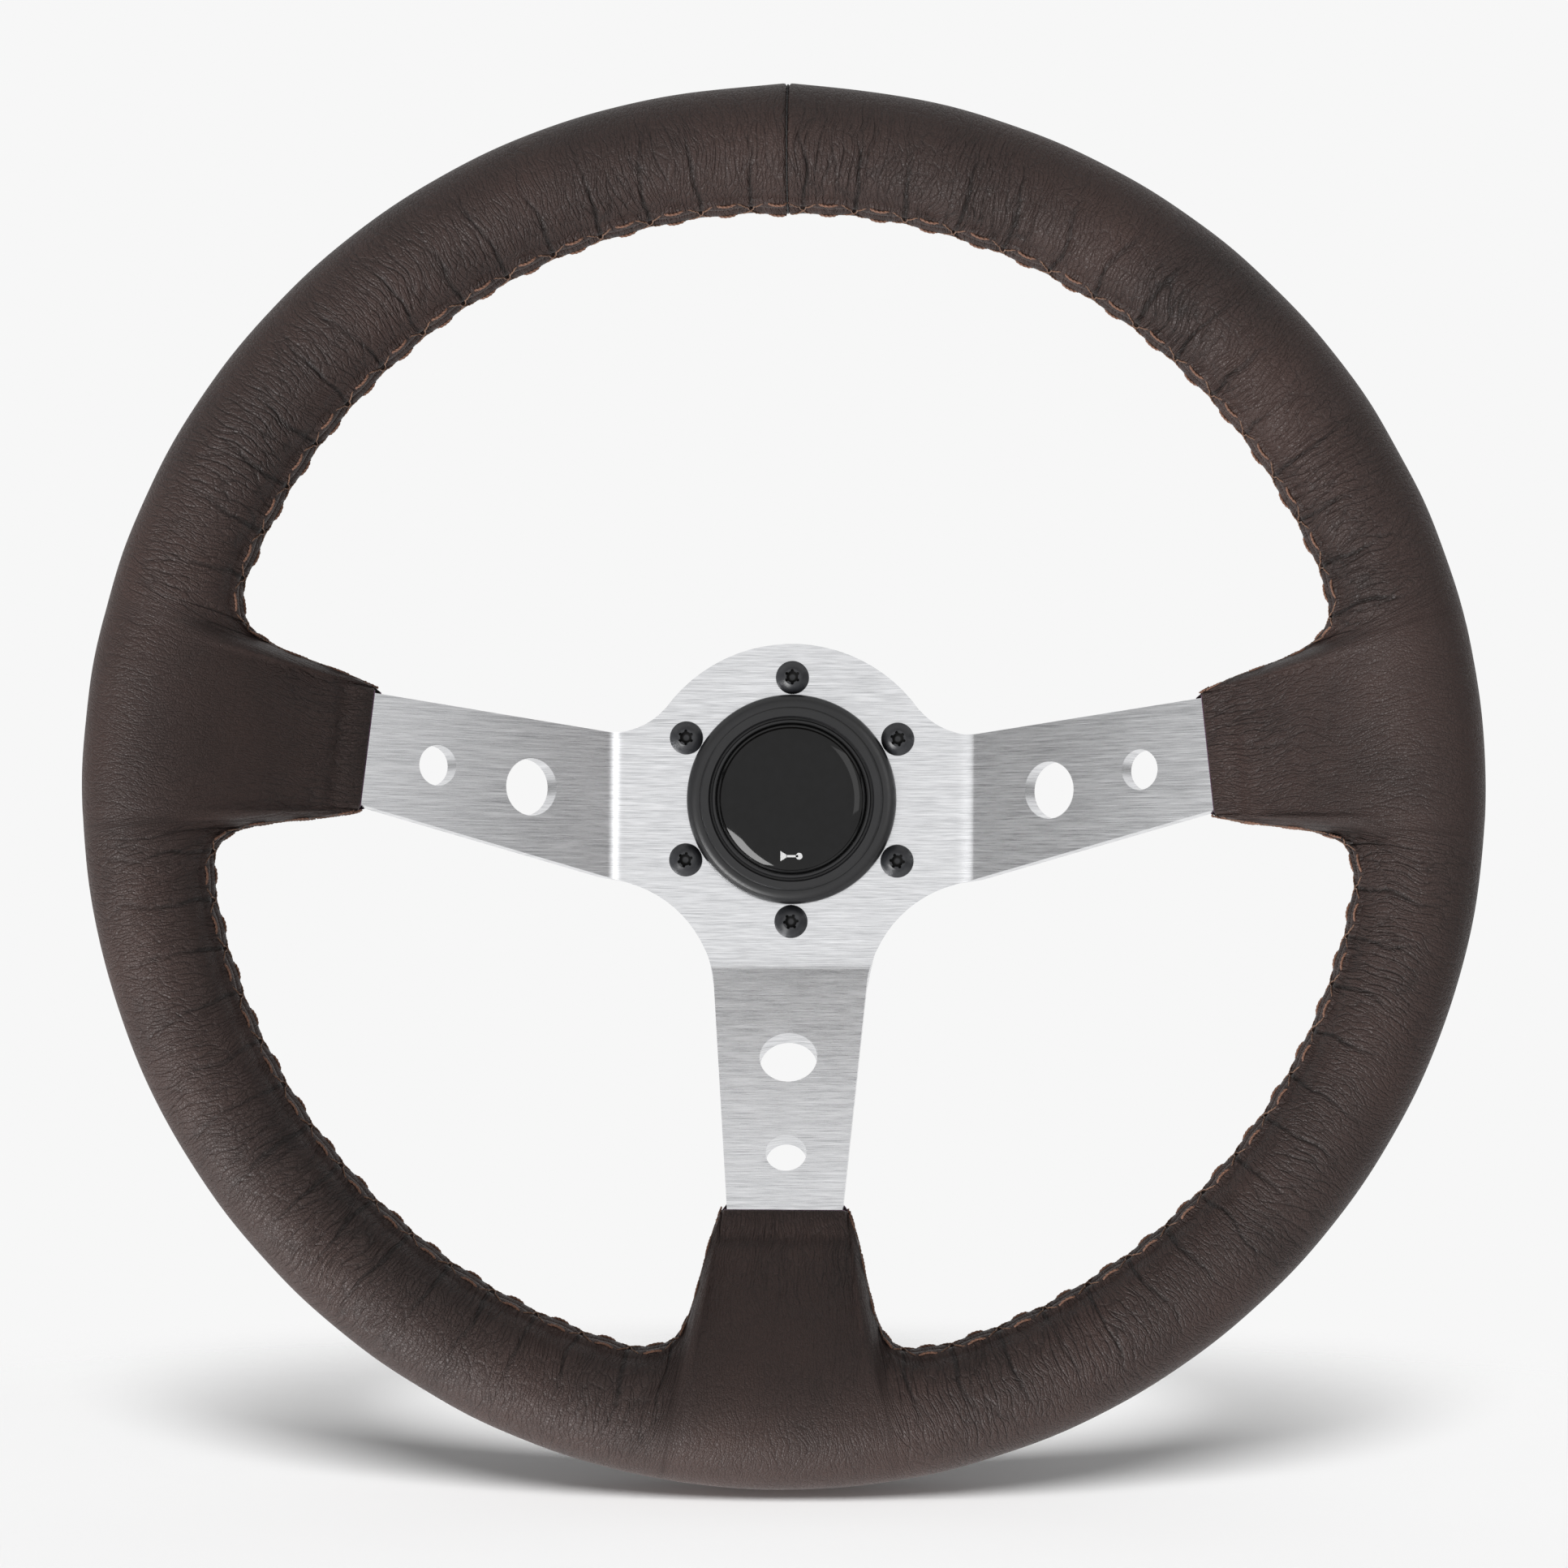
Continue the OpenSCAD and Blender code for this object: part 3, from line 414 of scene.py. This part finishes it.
def leather_finish():
    f = Finish("brown_leather", srgb(50, 38, 34), rough=0.5, Specular_IOR_Level=0.3)
    obj, uv = f.here.outputs["Object"], f.here.outputs["UV"]
    lip = f.node("Attribute", attribute_name="from_seam").outputs["Fac"]
    knots = f.node("Attribute", attribute_name="knots").outputs["Fac"]
    laced = f.node("Attribute", attribute_name="laced").outputs["Fac"]
    # pebble grain
    pebble = f.ranged(f.cells(f.warped(obj, 300.0, 0.0012), 1350.0), 0.0, 0.22)
    fine = f.noise(obj, 2800.0, 2.0)
    # fold lines that run across the rim, in two sizes, strongest near the seam
    bent = f.warped(uv, 42.0, 0.012)
    folds = f.ranged(f.cells(f.scaled(bent, (370, 60, 1)), 1.0, dims="2D"), 0.0, 0.15, 1.0, 0.0)
    thin = f.ranged(f.cells(f.scaled(f.warped(bent, 240.0, 0.0016), (900, 260, 1)), 1.0, dims="2D"), 0.0, 0.2, 1.0, 0.0)
    patch = f.ranged(f.noise(uv, 32.0, 2.0), 0.38, 0.62, 0.25, 1.0)
    near = f.ranged(lip, 0.004, 0.05, 1.0, 0.3)
    folds = f.math("MULTIPLY", f.math("MULTIPLY", folds, patch), near)
    thin = f.math("MULTIPLY", thin, f.ranged(lip, 0.004, 0.05, 1.0, 0.45))
    # pull lines that start where the thread crosses over
    sway = f.math("MULTIPLY", f.math("SUBTRACT", f.noise(uv, 60.0, 1.0), 0.5), f.math("MULTIPLY", lip, 40.0))
    place = f.math("FRACT", f.math("ADD", f.math("ADD", knots, 0.82), sway))
    valley = f.math("SUBTRACT", 1.0, f.ranged(f.math("ABSOLUTE", f.math("SUBTRACT", place, 0.5)), 0.0, 0.075))
    reach = f.ranged(f.math("ADD", lip, f.math("MULTIPLY", f.noise(uv, 55.0, 1.0), 0.024)), 0.014, 0.046, 1.0, 0.0)
    pull = f.math("MULTIPLY", f.math("MULTIPLY", valley, reach), laced)
    # low: depth of the folds and pull lines, used for the bump and for painted shade in the colour
    low = f.math("ADD", f.math("MULTIPLY", folds, 0.68), f.math("MULTIPLY", pull, 1.35))
    low = f.math("ADD", low, f.math("MULTIPLY", thin, 0.42))
    high = f.math("ADD", f.math("MULTIPLY", pebble, 0.16), f.math("MULTIPLY", fine, 0.07))
    f.bump(f.math("SUBTRACT", high, low), 0.00042, 0.9)
    # colour: random tone and pebble grain, with painted shade that darkens the valleys of the folds and pull lines
    broad = f.noise(obj, 30.0, 3.0)
    tone_and_painted_crease_shade = f.math("SUBTRACT", f.math("MULTIPLY_ADD", pebble, 0.12, broad), f.math("MULTIPLY", low, 0.36))
    f.tint(tone_and_painted_crease_shade, (0.05, srgb(25, 16, 13)), (0.4, srgb(49, 37, 34)), (0.75, srgb(61, 46, 42)))
    f.rough(pebble, 0.6, 0.46)
    return f.mat


def plain_finish(name, colour, rough, metal=0.0, grain=900.0, depth=0.00003, spread=0.25):
    """A moulded, cast or rolled finish: fine grain in its surface, slight mottling and uneven gloss."""
    f = Finish(name, colour, rough, metal)
    obj = f.here.outputs["Object"]
    fine, broad = f.noise(obj, grain, 3.0), f.noise(obj, 60.0, 3.0)
    dark = tuple(c * (1 - spread) for c in colour)
    light = tuple(min(1.0, c * (1 + spread)) for c in colour)
    f.tint(broad, (0.3, dark), (0.7, light))
    f.rough(fine, rough * 0.85, min(1.0, rough * 1.15))
    f.bump(fine, depth, 0.6)
    return f.mat


def brushed_finish():
    """Aluminium brushed from left to right: long and short strokes and a few deeper ones."""
    f = Finish("brushed_aluminium", (0.75, 0.76, 0.78), 0.3, 1.0)
    long = f.noise(f.stretched((34, 0.5, 2300)), 1.0, 4.0, 0.75)
    short = f.noise(f.stretched((120, 0.5, 5600), shift=(3, 0, 7)), 1.0, 2.0, 0.6)
    streak = f.ranged(f.noise(f.stretched((48, 0.5, 1500), shift=(1, 0, 4)), 1.0, 2.0, 0.6), 0.60, 0.74)
    lines = f.math("MULTIPLY_ADD", short, 0.5, f.math("MULTIPLY", long, 0.5))
    lines = f.math("SUBTRACT", lines, f.math("MULTIPLY", streak, 0.1))
    f.tint(lines, (0.34, (0.46, 0.465, 0.48)), (0.5, (0.725, 0.73, 0.745)), (0.64, (0.93, 0.935, 0.95)))
    f.rough(lines, 0.2, 0.36)
    f.bump(lines, 0.00006, 0.5)
    return f.mat


SCREW_CIRCLE = 0.035     # metres, from the wheel's axis


def screw_finish():
    """Blackened steel; inside the six-lobed drive of each head the colour is darkened with painted shade, and the
    surface there is duller.
    """
    f = Finish("black_oxide", (0.02, 0.021, 0.024), 0.34)
    obj = f.here.outputs["Object"]
    at = f.node("SeparateXYZ")
    f.link(obj, at.inputs[0])
    x, y, z = at.outputs
    out = f.math("SQRT", f.math("ADD", f.math("MULTIPLY", x, x), f.math("MULTIPLY", z, z)))
    turn = f.math("MULTIPLY", f.math("ARCTAN2", x, z), 3 / math.pi)
    along = f.math("MULTIPLY", f.math("SUBTRACT", turn, f.math("ROUND", turn)), math.pi / 3 * SCREW_CIRCLE)
    gap = f.math("SUBTRACT", out, SCREW_CIRCLE)
    off = f.math("SQRT", f.math("ADD", f.math("MULTIPLY", gap, gap), f.math("MULTIPLY", along, along)))
    ring = f.math("MULTIPLY", f.ranged(off, 0.0022, 0.0025, 1.0, 0.0), f.ranged(off, 0.0005, 0.0012))
    # inside: the drive's recess, below the top of the head and round its lighter middle; it darkens the colour as
    # painted shade and raises the roughness
    inside = f.math("MULTIPLY", ring, f.ranged(y, -0.0076, -0.0071))
    fine = f.noise(obj, 1500.0, 3.0)
    # painted shade: the colour goes nearly black in the drive's recess
    f.tint(f.math("SUBTRACT", f.noise(obj, 60.0, 3.0), inside),
           (0.0, (0.001, 0.001, 0.001)), (0.3, (0.02, 0.021, 0.024)), (0.7, (0.032, 0.033, 0.037)))
    dull = f.math("ADD", f.ranged(fine, 0, 1, 0.28, 0.4), f.math("MULTIPLY", inside, 0.6))
    f.link(dull, f.shader.inputs["Roughness"])
    f.bump(fine, 0.00003, 0.6)
    return f.mat


DOME_FLAT, DOME_EDGE = 0.016, 0.0058     # metres: radius of the flat middle, width of the curved edge


def dome_finish():
    """Clear black resin whose surface curves down towards its edge."""
    f = Finish("clear_dome", (0.004, 0.004, 0.0042), 0.06, Specular_IOR_Level=0.3)
    obj = f.here.outputs["Object"]
    way = f.node("VectorMath", operation="LENGTH")
    f.link(f.stretched((1, 0, 1)), way.inputs[0])
    near = f.math("MAXIMUM", f.math("MULTIPLY_ADD", way.outputs["Value"], 1 / DOME_EDGE, -DOME_FLAT / DOME_EDGE), 0.0)
    curve = f.math("SUBTRACT", 0.0, f.math("MULTIPLY", near, near))
    fine = f.noise(obj, 400.0, 2.0)
    f.bump(f.math("MULTIPLY_ADD", fine, 0.0008, curve), 0.0022, 1.0)
    f.tint(fine, (0.3, (0.003, 0.003, 0.003)), (0.7, (0.005, 0.005, 0.0052)))
    f.rough(fine, 0.04, 0.09)
    return f.mat


def thread_finish(name, colour):
    f = Finish(name, colour, 0.62, Sheen_Weight=0.15)
    obj = f.here.outputs["Object"]
    fibre = f.noise(obj, 3200.0, 2.0)
    dark, light = tuple(c * 0.55 for c in colour), tuple(min(1, c * 1.5) for c in colour)
    f.tint(fibre, (0.3, dark), (0.65, colour), (0.85, light))
    f.bump(fibre, 0.00006, 0.7)
    return f.mat


leather = leather_finish()
cut_edge = plain_finish("leather_cut_edge", srgb(92, 38, 84), 0.7, grain=2500.0)
lace = thread_finish("tan_thread", srgb(124, 90, 69))
sewn = thread_finish("copper_thread", srgb(130, 91, 71))
dark_thread = thread_finish("seam_thread", srgb(24, 20, 19))
finishes = {
    "spoke_frame": brushed_finish(),
    "rim_hoop": plain_finish("satin_aluminium", (0.66, 0.66, 0.67), 0.36, 1.0),
    "rim_rivets": plain_finish("rivet_aluminium", (0.6, 0.6, 0.61), 0.42, 1.0),
    "foam_grip": plain_finish("moulded_foam", (0.022, 0.022, 0.022), 0.85, grain=1600.0, depth=0.00012),
    "hub_screws": screw_finish(),
    "horn_housing": plain_finish("satin_black_plastic", (0.010, 0.010, 0.011), 0.36, grain=1300.0),
    "rubber_ring": plain_finish("black_rubber", (0.014, 0.014, 0.014), 0.78),
    "emblem_disc": plain_finish("black_foil", (0.008, 0.008, 0.009), 0.3),
    "emblem_dome": dome_finish(),
    "contact_plate": plain_finish("contact_brass", (0.74, 0.52, 0.23), 0.3, 1.0),
    "return_spring": plain_finish("spring_steel", (0.52, 0.52, 0.53), 0.28, 1.0),
    "insulator": plain_finish("pressed_board", (0.28, 0.14, 0.06), 0.6, grain=700.0, depth=0.00008),
}
SAME_FINISH = {
    "horn_housing": ("trim_ring", "horn_cap"),
    "contact_plate": ("contact_screws", "fixed_contact", "ground_strap", "signal_terminal", "ground_terminal",
                      "terminal_rivets"),
    "return_spring": ("snap_ring",),
}
for first, others in SAME_FINISH.items():
    for other in others:
        finishes[other] = finishes[first]
for node, finish in finishes.items():
    nodes[node].data.materials.clear()
    nodes[node].data.materials.append(finish)


# ---------------------------------------------------------------- leather grip
def section_angles():
    """Wheel angles of the leather's sections, closer where the sleeves flare and at the top seam."""
    a = np.arange(90.0, 450.0, 0.01)
    off = seam_path(a)[5]
    u = np.abs((a - 90 + 180) % 360 - 180) * math.pi / 180 * RING
    density = 1.9 + 5.5 * np.exp(-((off - 1.3) / 1.1) ** 2) + 7.0 * np.exp(-(u / 1.1) ** 2)
    count = np.cumsum(density) * 0.01
    n = int(round(count[-1]))
    return np.interp(np.arange(n) / n * count[-1], count, a)


def grip_piece():
    """The leather, as one closed piece: outer skin with its lips and cuffs, and an inner wall."""
    angles = section_angles()
    n = len(angles)
    (fp, fv, fn), (bp, bv, bn) = skin(angles)
    inner_f, inner_b = ((p - INNER_WALL * out)[:, N_LIP - 1::2] for p, out in ((fp, fn), (bp, bn)))
    outline = np.concatenate([fp, bp[:, -2::-1], inner_b, inner_f[:, -2::-1]], 1)
    m = outline.shape[1]
    outer = fp.shape[1] + bp.shape[1] - 1
    hidden = np.zeros((n, m - outer))
    far = np.concatenate([fv, bv[:, -2::-1], hidden], 1)
    # a ring of the section's points is spun round the wheel's axis, then each point goes to its place
    bm = bmesh.new()
    ring = bmesh.ops.create_circle(bm, segments=m, radius=GRIP)["verts"]
    bmesh.ops.rotate(bm, verts=ring, matrix=Matrix.Rotation(math.radians(90), 3, "X"))
    bmesh.ops.translate(bm, verts=ring, vec=(RING, 0, 0))
    bmesh.ops.spin(bm, geom=bm.verts[:] + bm.edges[:], axis=(0, 0, 1), cent=(0, 0, 0), angle=2 * math.pi,
                   steps=n, use_merge=True, use_duplicate=False)
    co = np.array([v.co for v in bm.verts])
    turn = np.round(np.arctan2(co[:, 1], co[:, 0]) / (2 * math.pi) * n).astype(int) % n
    across = np.hypot(co[:, 0], co[:, 1]) - RING
    # the circle's points start at its top, a quarter turn on
    slot = np.round(np.arctan2(co[:, 2], across) / (2 * math.pi) * m - m / 4).astype(int) % m
    r, h = outline[turn, slot, 0], outline[turn, slot, 1]
    a = np.radians(angles[turn])
    xyz = to_world(r, a, h)
    for v, p in zip(bm.verts, xyz):
        v.co = p
    bm.verts.index_update()
    u_at = (angles - 90) * math.pi / 180 * RING * 0.001
    v_at = np.concatenate([fv, fv[:, -1:] + (bv[:, -1:] - bv[:, -2::-1]), hidden], 1) * 0.001
    round_trip = 2 * math.pi * RING * 0.001
    layer = bm.loops.layers.uv.new("UVMap")
    _, laced, knots = stitch_phase(angles)
    on_cuff = seam_path(angles)[3]
    seam_far, knot, drawn = (bm.verts.layers.float.new(k) for k in ("from_seam", "knots", "laced"))
    for v in bm.verts:
        v[seam_far] = far[turn[v.index], slot[v.index]] * 0.001
        v[knot] = knots[turn[v.index]]
        v[drawn] = laced[turn[v.index]]
    for face in bm.faces:
        us = [u_at[turn[l.vert.index]] for l in face.loops]
        wrap = max(us) - min(us) > round_trip / 2
        for l, uu in zip(face.loops, us):
            if wrap and uu < round_trip / 2:
                uu += round_trip
            l[layer].uv = (uu, v_at[turn[l.vert.index], slot[l.vert.index]])
        slots = sorted(slot[l.vert.index] for l in face.loops)
        if on_cuff[turn[face.verts[0].index]] < 0.5:
            continue
        if slots[-1] <= 1 or (slots[0] >= outer - 2 and slots[-1] <= outer - 1):
            face.material_index = 1
    return piece("leather_grip", bm, leather, cut_edge)


grip = grip_piece()
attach(grip, "wheel")
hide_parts("leather_cover")


# ---------------------------------------------------------------- stitching
def on_skin(a, q, lift):
    """Points on the leather at wheel angles a, q millimetres from the seam (front is positive), lifted off the skin."""
    (fp, fv, fn), (bp, bv, bn) = skin(a)
    out = np.zeros((len(a), 3))
    for i in range(len(a)):
        p, v, nn = (fp[i], fv[i], fn[i]) if q[i] >= 0 else (bp[i], bv[i], bn[i])
        d = abs(q[i]) + LIP_START
        r = np.interp(d, v, p[:, 0])
        h = np.interp(d, v, p[:, 1])
        nr, nh = np.interp(d, v, nn[:, 0]), np.interp(d, v, nn[:, 1])
        # the two sides share the direction towards the wheel's axis at the groove
        share = smooth(abs(q[i]) / 1.2)
        nr, nh = mixed(-1.0, nr, share), mixed(0.0, nh, share)
        size = math.hypot(nr, nh)
        out[i] = to_world(r + lift[i] * nr / size, math.radians(a[i]), h + lift[i] * nh / size)
    return out


def thread_profile():
    """Outline of a two-strand twisted thread."""
    curve = bpy.data.curves.new("thread_profile", "CURVE")
    curve.dimensions = "2D"
    s = curve.splines.new("POLY")
    s.points.add(7)
    for i, pt in enumerate(s.points):
        t = 2 * math.pi * i / 8
        pt.co = (0.00036 * math.cos(t), 0.00024 * math.sin(t), 0, 1)
    s.use_cyclic_u = True
    obj = bpy.data.objects.new("thread_profile", curve)
    scene.collection.objects.link(obj)
    return obj


def twisted(name, strands, materials, profile, pitch=0.0021):
    """Threads made into one mesh: each strand is a path with its thickness and the place of its material."""
    curve = bpy.data.curves.new(name, "CURVE")
    curve.dimensions = "3D"
    curve.bevel_mode = "OBJECT"
    curve.bevel_object = profile
    curve.use_fill_caps = True
    curve.twist_mode = "MINIMUM"
    for m in materials:
        curve.materials.append(m)
    for path, thick, which in strands:
        s = curve.splines.new("POLY")
        s.points.add(len(path) - 1)
        s.material_index = which
        length = np.r_[0, np.cumsum(np.linalg.norm(np.diff(path, axis=0), axis=1))]
        for pt, p, l in zip(s.points, path, length):
            pt.co = (*p, 1)
            pt.tilt = 2 * math.pi * l / pitch
            pt.radius = thick
    temp = bpy.data.objects.new(name + "_path", curve)
    scene.collection.objects.link(temp)
    bpy.context.view_layer.update()
    mesh = bpy.data.meshes.new_from_object(temp.evaluated_get(bpy.context.evaluated_depsgraph_get()))
    bpy.data.objects.remove(temp)
    mesh.name = name
    mesh.polygons.foreach_set("use_smooth", [True] * len(mesh.polygons))
    obj = bpy.data.objects.new(name, mesh)
    scene.collection.objects.link(obj)
    return obj


ROW = 2.4      # from the seam to each row of stitches
DASH = 0.4     # share of a stitch that is the sewn dash; the rest is laced


def knot(a):
    """A small coiled knot with a short tail, where a run of lacing ends."""
    turns = 2.2
    t = np.linspace(0, 1, 40)
    q = 0.75 * np.sin(2 * np.pi * turns * t) * (1 - 0.2 * t)
    lift = 0.25 + 0.55 * np.cos(2 * np.pi * turns * t) * (1 - t) + 0.9 * t
    return on_skin(a + 0.34 * (t - 0.5), q, lift)


def lacing_strands(run):
    """The sewn stitches of both rows, and the two hand-laced threads that hook under them and cross over."""
    s0, s1, count, pitch = RUN_S[run]
    rng = np.random.default_rng(count)
    strands = []
    for k in range(count):
        shift = rng.normal(0, 0.012, 4)
        for way in (1, -1):
            t = np.linspace(0.0, DASH, 14) + shift[0]
            x = np.linspace(0, 1, 14)
            a = np.interp(s0 + (k + t) * pitch, SEAM_S, SEAM_A)
            lift = -0.55 + 0.8 * np.sin(np.pi * x) ** 0.35
            strands.append((on_skin(a, way * (ROW - 0.25 * np.sin(np.pi * x)), lift), 1.05, 0))
            x = np.linspace(0, 1, 24)
            t = DASH + 0.03 + (0.98 - DASH - 0.03) * x + shift[2 if way > 0 else 3]
            side = way if k % 2 == 0 else -way
            bent = x ** (0.8 if side > 0 else 1.25)
            q = side * ROW * np.cos(np.pi * bent)
            lift = -0.5 + (0.6 if way > 0 else 0.74) * np.sin(np.pi * np.clip(x, 0.02, 0.98)) ** 0.4
            a = np.interp(s0 + (k + t) * pitch, SEAM_S, SEAM_A)
            strands.append((on_skin(a, q, lift), 0.7, 1))
    for s in (s0 + 1.2, s1 - 1.2):
        strands.append((knot(float(np.interp(s, SEAM_S, SEAM_A))), 0.9, 0))
    return strands


profile = thread_profile()
for run in RUNS:
    threads = twisted(run + "_thread", lacing_strands(run), (sewn, lace), profile)
    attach(threads, "wheel")
    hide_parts(run)


def top_seam_path():
    """Small stitches in the butt seam, from the front lip over the grip to the back lip."""
    (fp, _, fn), (bp, _, bn) = skin(np.array([90.0]))
    line = np.concatenate([fp[0][1:], bp[0][-2:0:-1]])
    nn = np.concatenate([fn[0][1:], bn[0][-2:0:-1]])
    length = np.r_[0, np.cumsum(np.linalg.norm(np.diff(line, axis=0), axis=1))]
    s = np.arange(0, length[-1], 0.3)
    lift = 0.05 + 0.42 * np.abs(np.sin(math.pi * s / 2.9)) ** 0.5
    r = np.interp(s, length, line[:, 0]) + lift * np.interp(s, length, nn[:, 0])
    h = np.interp(s, length, line[:, 1]) + lift * np.interp(s, length, nn[:, 1])
    return to_world(r, np.full(len(s), math.pi / 2), h)


seam = twisted("top_seam_stitches", [(top_seam_path(), 0.7, 0)], (dark_thread,), profile, pitch=0.0016)
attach(seam, "wheel")
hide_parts("top_seam")
bpy.data.objects.remove(profile)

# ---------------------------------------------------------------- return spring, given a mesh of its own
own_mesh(nodes["return_spring"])

# ---------------------------------------------------------------- horn symbol, printed white under the dome
def flat(bm, width, height, across, taper=1.0):
    """A thin plate in the printed layer; its right end is taper times as high."""
    made = bmesh.ops.create_cube(bm, size=1.0)["verts"]
    for v in made:
        v.co = ((v.co.x * width + across) * 0.001, v.co.y * 0.00004,
                v.co.z * height * (taper if v.co.x > 0 else 1) * 0.001)


def horn_symbol():
    """A plain trumpet: bell, tube and a round bulb."""
    bm = bmesh.new()
    disc = bmesh.ops.create_circle(bm, segments=40, radius=0.00095, cap_ends=True)["verts"]
    bmesh.ops.rotate(bm, verts=disc, matrix=Matrix.Rotation(math.radians(90), 3, "X"))
    bmesh.ops.translate(bm, verts=disc, vec=(0.00235, -0.00002, 0))
    flat(bm, 0.9, 2.9, across=-2.5, taper=0.62)
    flat(bm, 0.9, 1.8, across=-1.6, taper=0.36)
    flat(bm, 3.4, 0.62, across=0.4)
    bmesh.ops.translate(bm, verts=bm.verts, vec=(0, -0.01172, -0.0163))
    return piece("horn_symbol", bm, plain_finish("white_print", srgb(236, 236, 236), 0.35, grain=2500.0, spread=0.04),
                 smooth_faces=False)


symbol = horn_symbol()
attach(symbol, "horn_button")


# ---------------------------------------------------------------- floor, light and camera
FLOOR = -0.1762          # metres, just under the rim


def floor_piece():
    """A pale floor that fades out round the foot of the wheel, and takes only its shadow."""
    bm = bmesh.new()
    bmesh.ops.create_circle(bm, segments=64, radius=2.6, cap_ends=True)
    bmesh.ops.translate(bm, verts=bm.verts, vec=(0, -0.08, FLOOR))
    f = Finish("floor", (0.93, 0.93, 0.93), 0.9, Specular_IOR_Level=0.0)
    away = f.node("VectorMath", operation="LENGTH")
    f.link(f.stretched((1, 2.2, 0), shift=(0, 0.13, 0)), away.inputs[0])
    clear = f.node("BsdfTransparent")
    mix = f.node("MixShader")
    f.link(f.ranged(away.outputs["Value"], 0.17, 0.42), mix.inputs["Fac"])
    f.link(f.shader.outputs[0], mix.inputs[1])
    f.link(clear.outputs[0], mix.inputs[2])
    f.link(mix.outputs[0], f.nt.nodes["Material Output"].inputs["Surface"])
    obj = piece("floor", bm, f.mat, smooth_faces=False)
    obj.visible_shadow = obj.visible_glossy = False
    return obj


floor = floor_piece()


def studio():
    """Pale room: white for the camera, white with dim side walls for what shines, and an even fill."""
    world = bpy.data.worlds.new("studio")
    scene.world = world
    world.use_nodes = True
    nt = world.node_tree
    link = nt.links.new

    def number(how, *values):
        n = nt.nodes.new("ShaderNodeMath")
        n.operation = how
        for socket, v in zip(n.inputs, values):
            if isinstance(v, (int, float)):
                socket.default_value = v
            else:
                link(v, socket)
        return n.outputs[0]

    def dimmer(x, start, end, dark):
        n = nt.nodes.new("ShaderNodeMapRange")
        n.interpolation_type = "SMOOTHSTEP"
        for k, v in (("From Min", start), ("From Max", end), ("To Min", 1.0), ("To Max", dark)):
            n.inputs[k].default_value = v
        link(x, n.inputs["Value"])
        return n.outputs["Result"]

    fill = nt.nodes["Background"]
    fill.inputs["Color"].default_value = (1, 1, 1, 1)
    fill.inputs["Strength"].default_value = 0.26
    seen, shone = nt.nodes.new("ShaderNodeBackground"), nt.nodes.new("ShaderNodeBackground")
    for b in (seen, shone):
        b.inputs["Color"].default_value = (*srgb(247, 247, 247), 1)
    way = nt.nodes.new("ShaderNodeSeparateXYZ")
    link(nt.nodes.new("ShaderNodeTexCoord").outputs["Generated"], way.inputs[0])
    walls = nt.nodes.new("ShaderNodeValToRGB")
    # strength by how far a reflection looks to the side: full, a dark gap, then half
    stops = ((0.6, 1.0), (0.84, 0.95), (0.9, 0.8), (0.92, 0.27),
             (0.935, 0.04), (0.95, 0.08), (0.965, 0.45), (1.0, 0.6))
    while len(walls.color_ramp.elements) < len(stops):
        walls.color_ramp.elements.new(0.5)
    for e, (at, v) in zip(walls.color_ramp.elements, stops):
        e.position, e.color = at, (v, v, v, 1)
    link(number("ABSOLUTE", way.outputs["X"]), walls.inputs["Fac"])
    above = dimmer(way.outputs["Z"], 0.6, 0.95, 0.97)
    link(number("MULTIPLY", walls.outputs["Color"], above), shone.inputs["Strength"])
    ray = nt.nodes.new("ShaderNodeLightPath")
    gloss = number("MAXIMUM", ray.outputs["Is Glossy Ray"], ray.outputs["Is Transmission Ray"])
    first, second = nt.nodes.new("ShaderNodeMixShader"), nt.nodes.new("ShaderNodeMixShader")
    link(gloss, first.inputs["Fac"])
    link(fill.outputs[0], first.inputs[1])
    link(shone.outputs[0], first.inputs[2])
    link(ray.outputs["Is Camera Ray"], second.inputs["Fac"])
    link(first.outputs[0], second.inputs[1])
    link(seen.outputs[0], second.inputs[2])
    link(second.outputs[0], nt.nodes["World Output"].inputs["Surface"])


studio()


def lamp(name, kind, place, target, power, **values):
    light = bpy.data.lights.new(name, kind)
    light.energy = power
    for k, v in values.items():
        setattr(light, k, v)
    obj = bpy.data.objects.new(name, light)
    obj.location = place
    obj.rotation_euler = (Vector(target) - Vector(place)).to_track_quat("-Z", "Y").to_euler()
    scene.collection.objects.link(obj)
    return obj


AIM = (0, -0.05, 0)      # metres, inside the dish
lamp("softbox_low_left", "AREA", (-0.88, -0.95, -0.9), AIM, 30, shape="RECTANGLE", size=0.9, size_y=0.9)
lamp("softbox_right", "AREA", (1.05, -1.3, 0.45), AIM, 3.4, shape="RECTANGLE", size=0.6, size_y=1.3)
# a lamp for the floor alone, from above: it gives the soft shadow under the rim
overhead = lamp("overhead", "SUN", (0, -1.15, 1.5), (0, 0, 0), 2.8, angle=math.radians(28))
floor_only = bpy.data.collections.new("floor_only")
floor_only.objects.link(floor)
overhead.light_linking.receiver_collection = floor_only

cam = bpy.data.cameras.new("camera")
cam.lens = 48
cam.sensor_width = 36
cam.sensor_fit = "HORIZONTAL"
cam.shift_x = -0.0373
cam.shift_y = 0.0567
cam.clip_start = 0.01
camera = bpy.data.objects.new("camera", cam)
camera.location = (0.01469, -0.605, -0.02096)
camera.rotation_euler = (math.radians(90), math.radians(-0.35), 0)
scene.collection.objects.link(camera)
scene.camera = camera
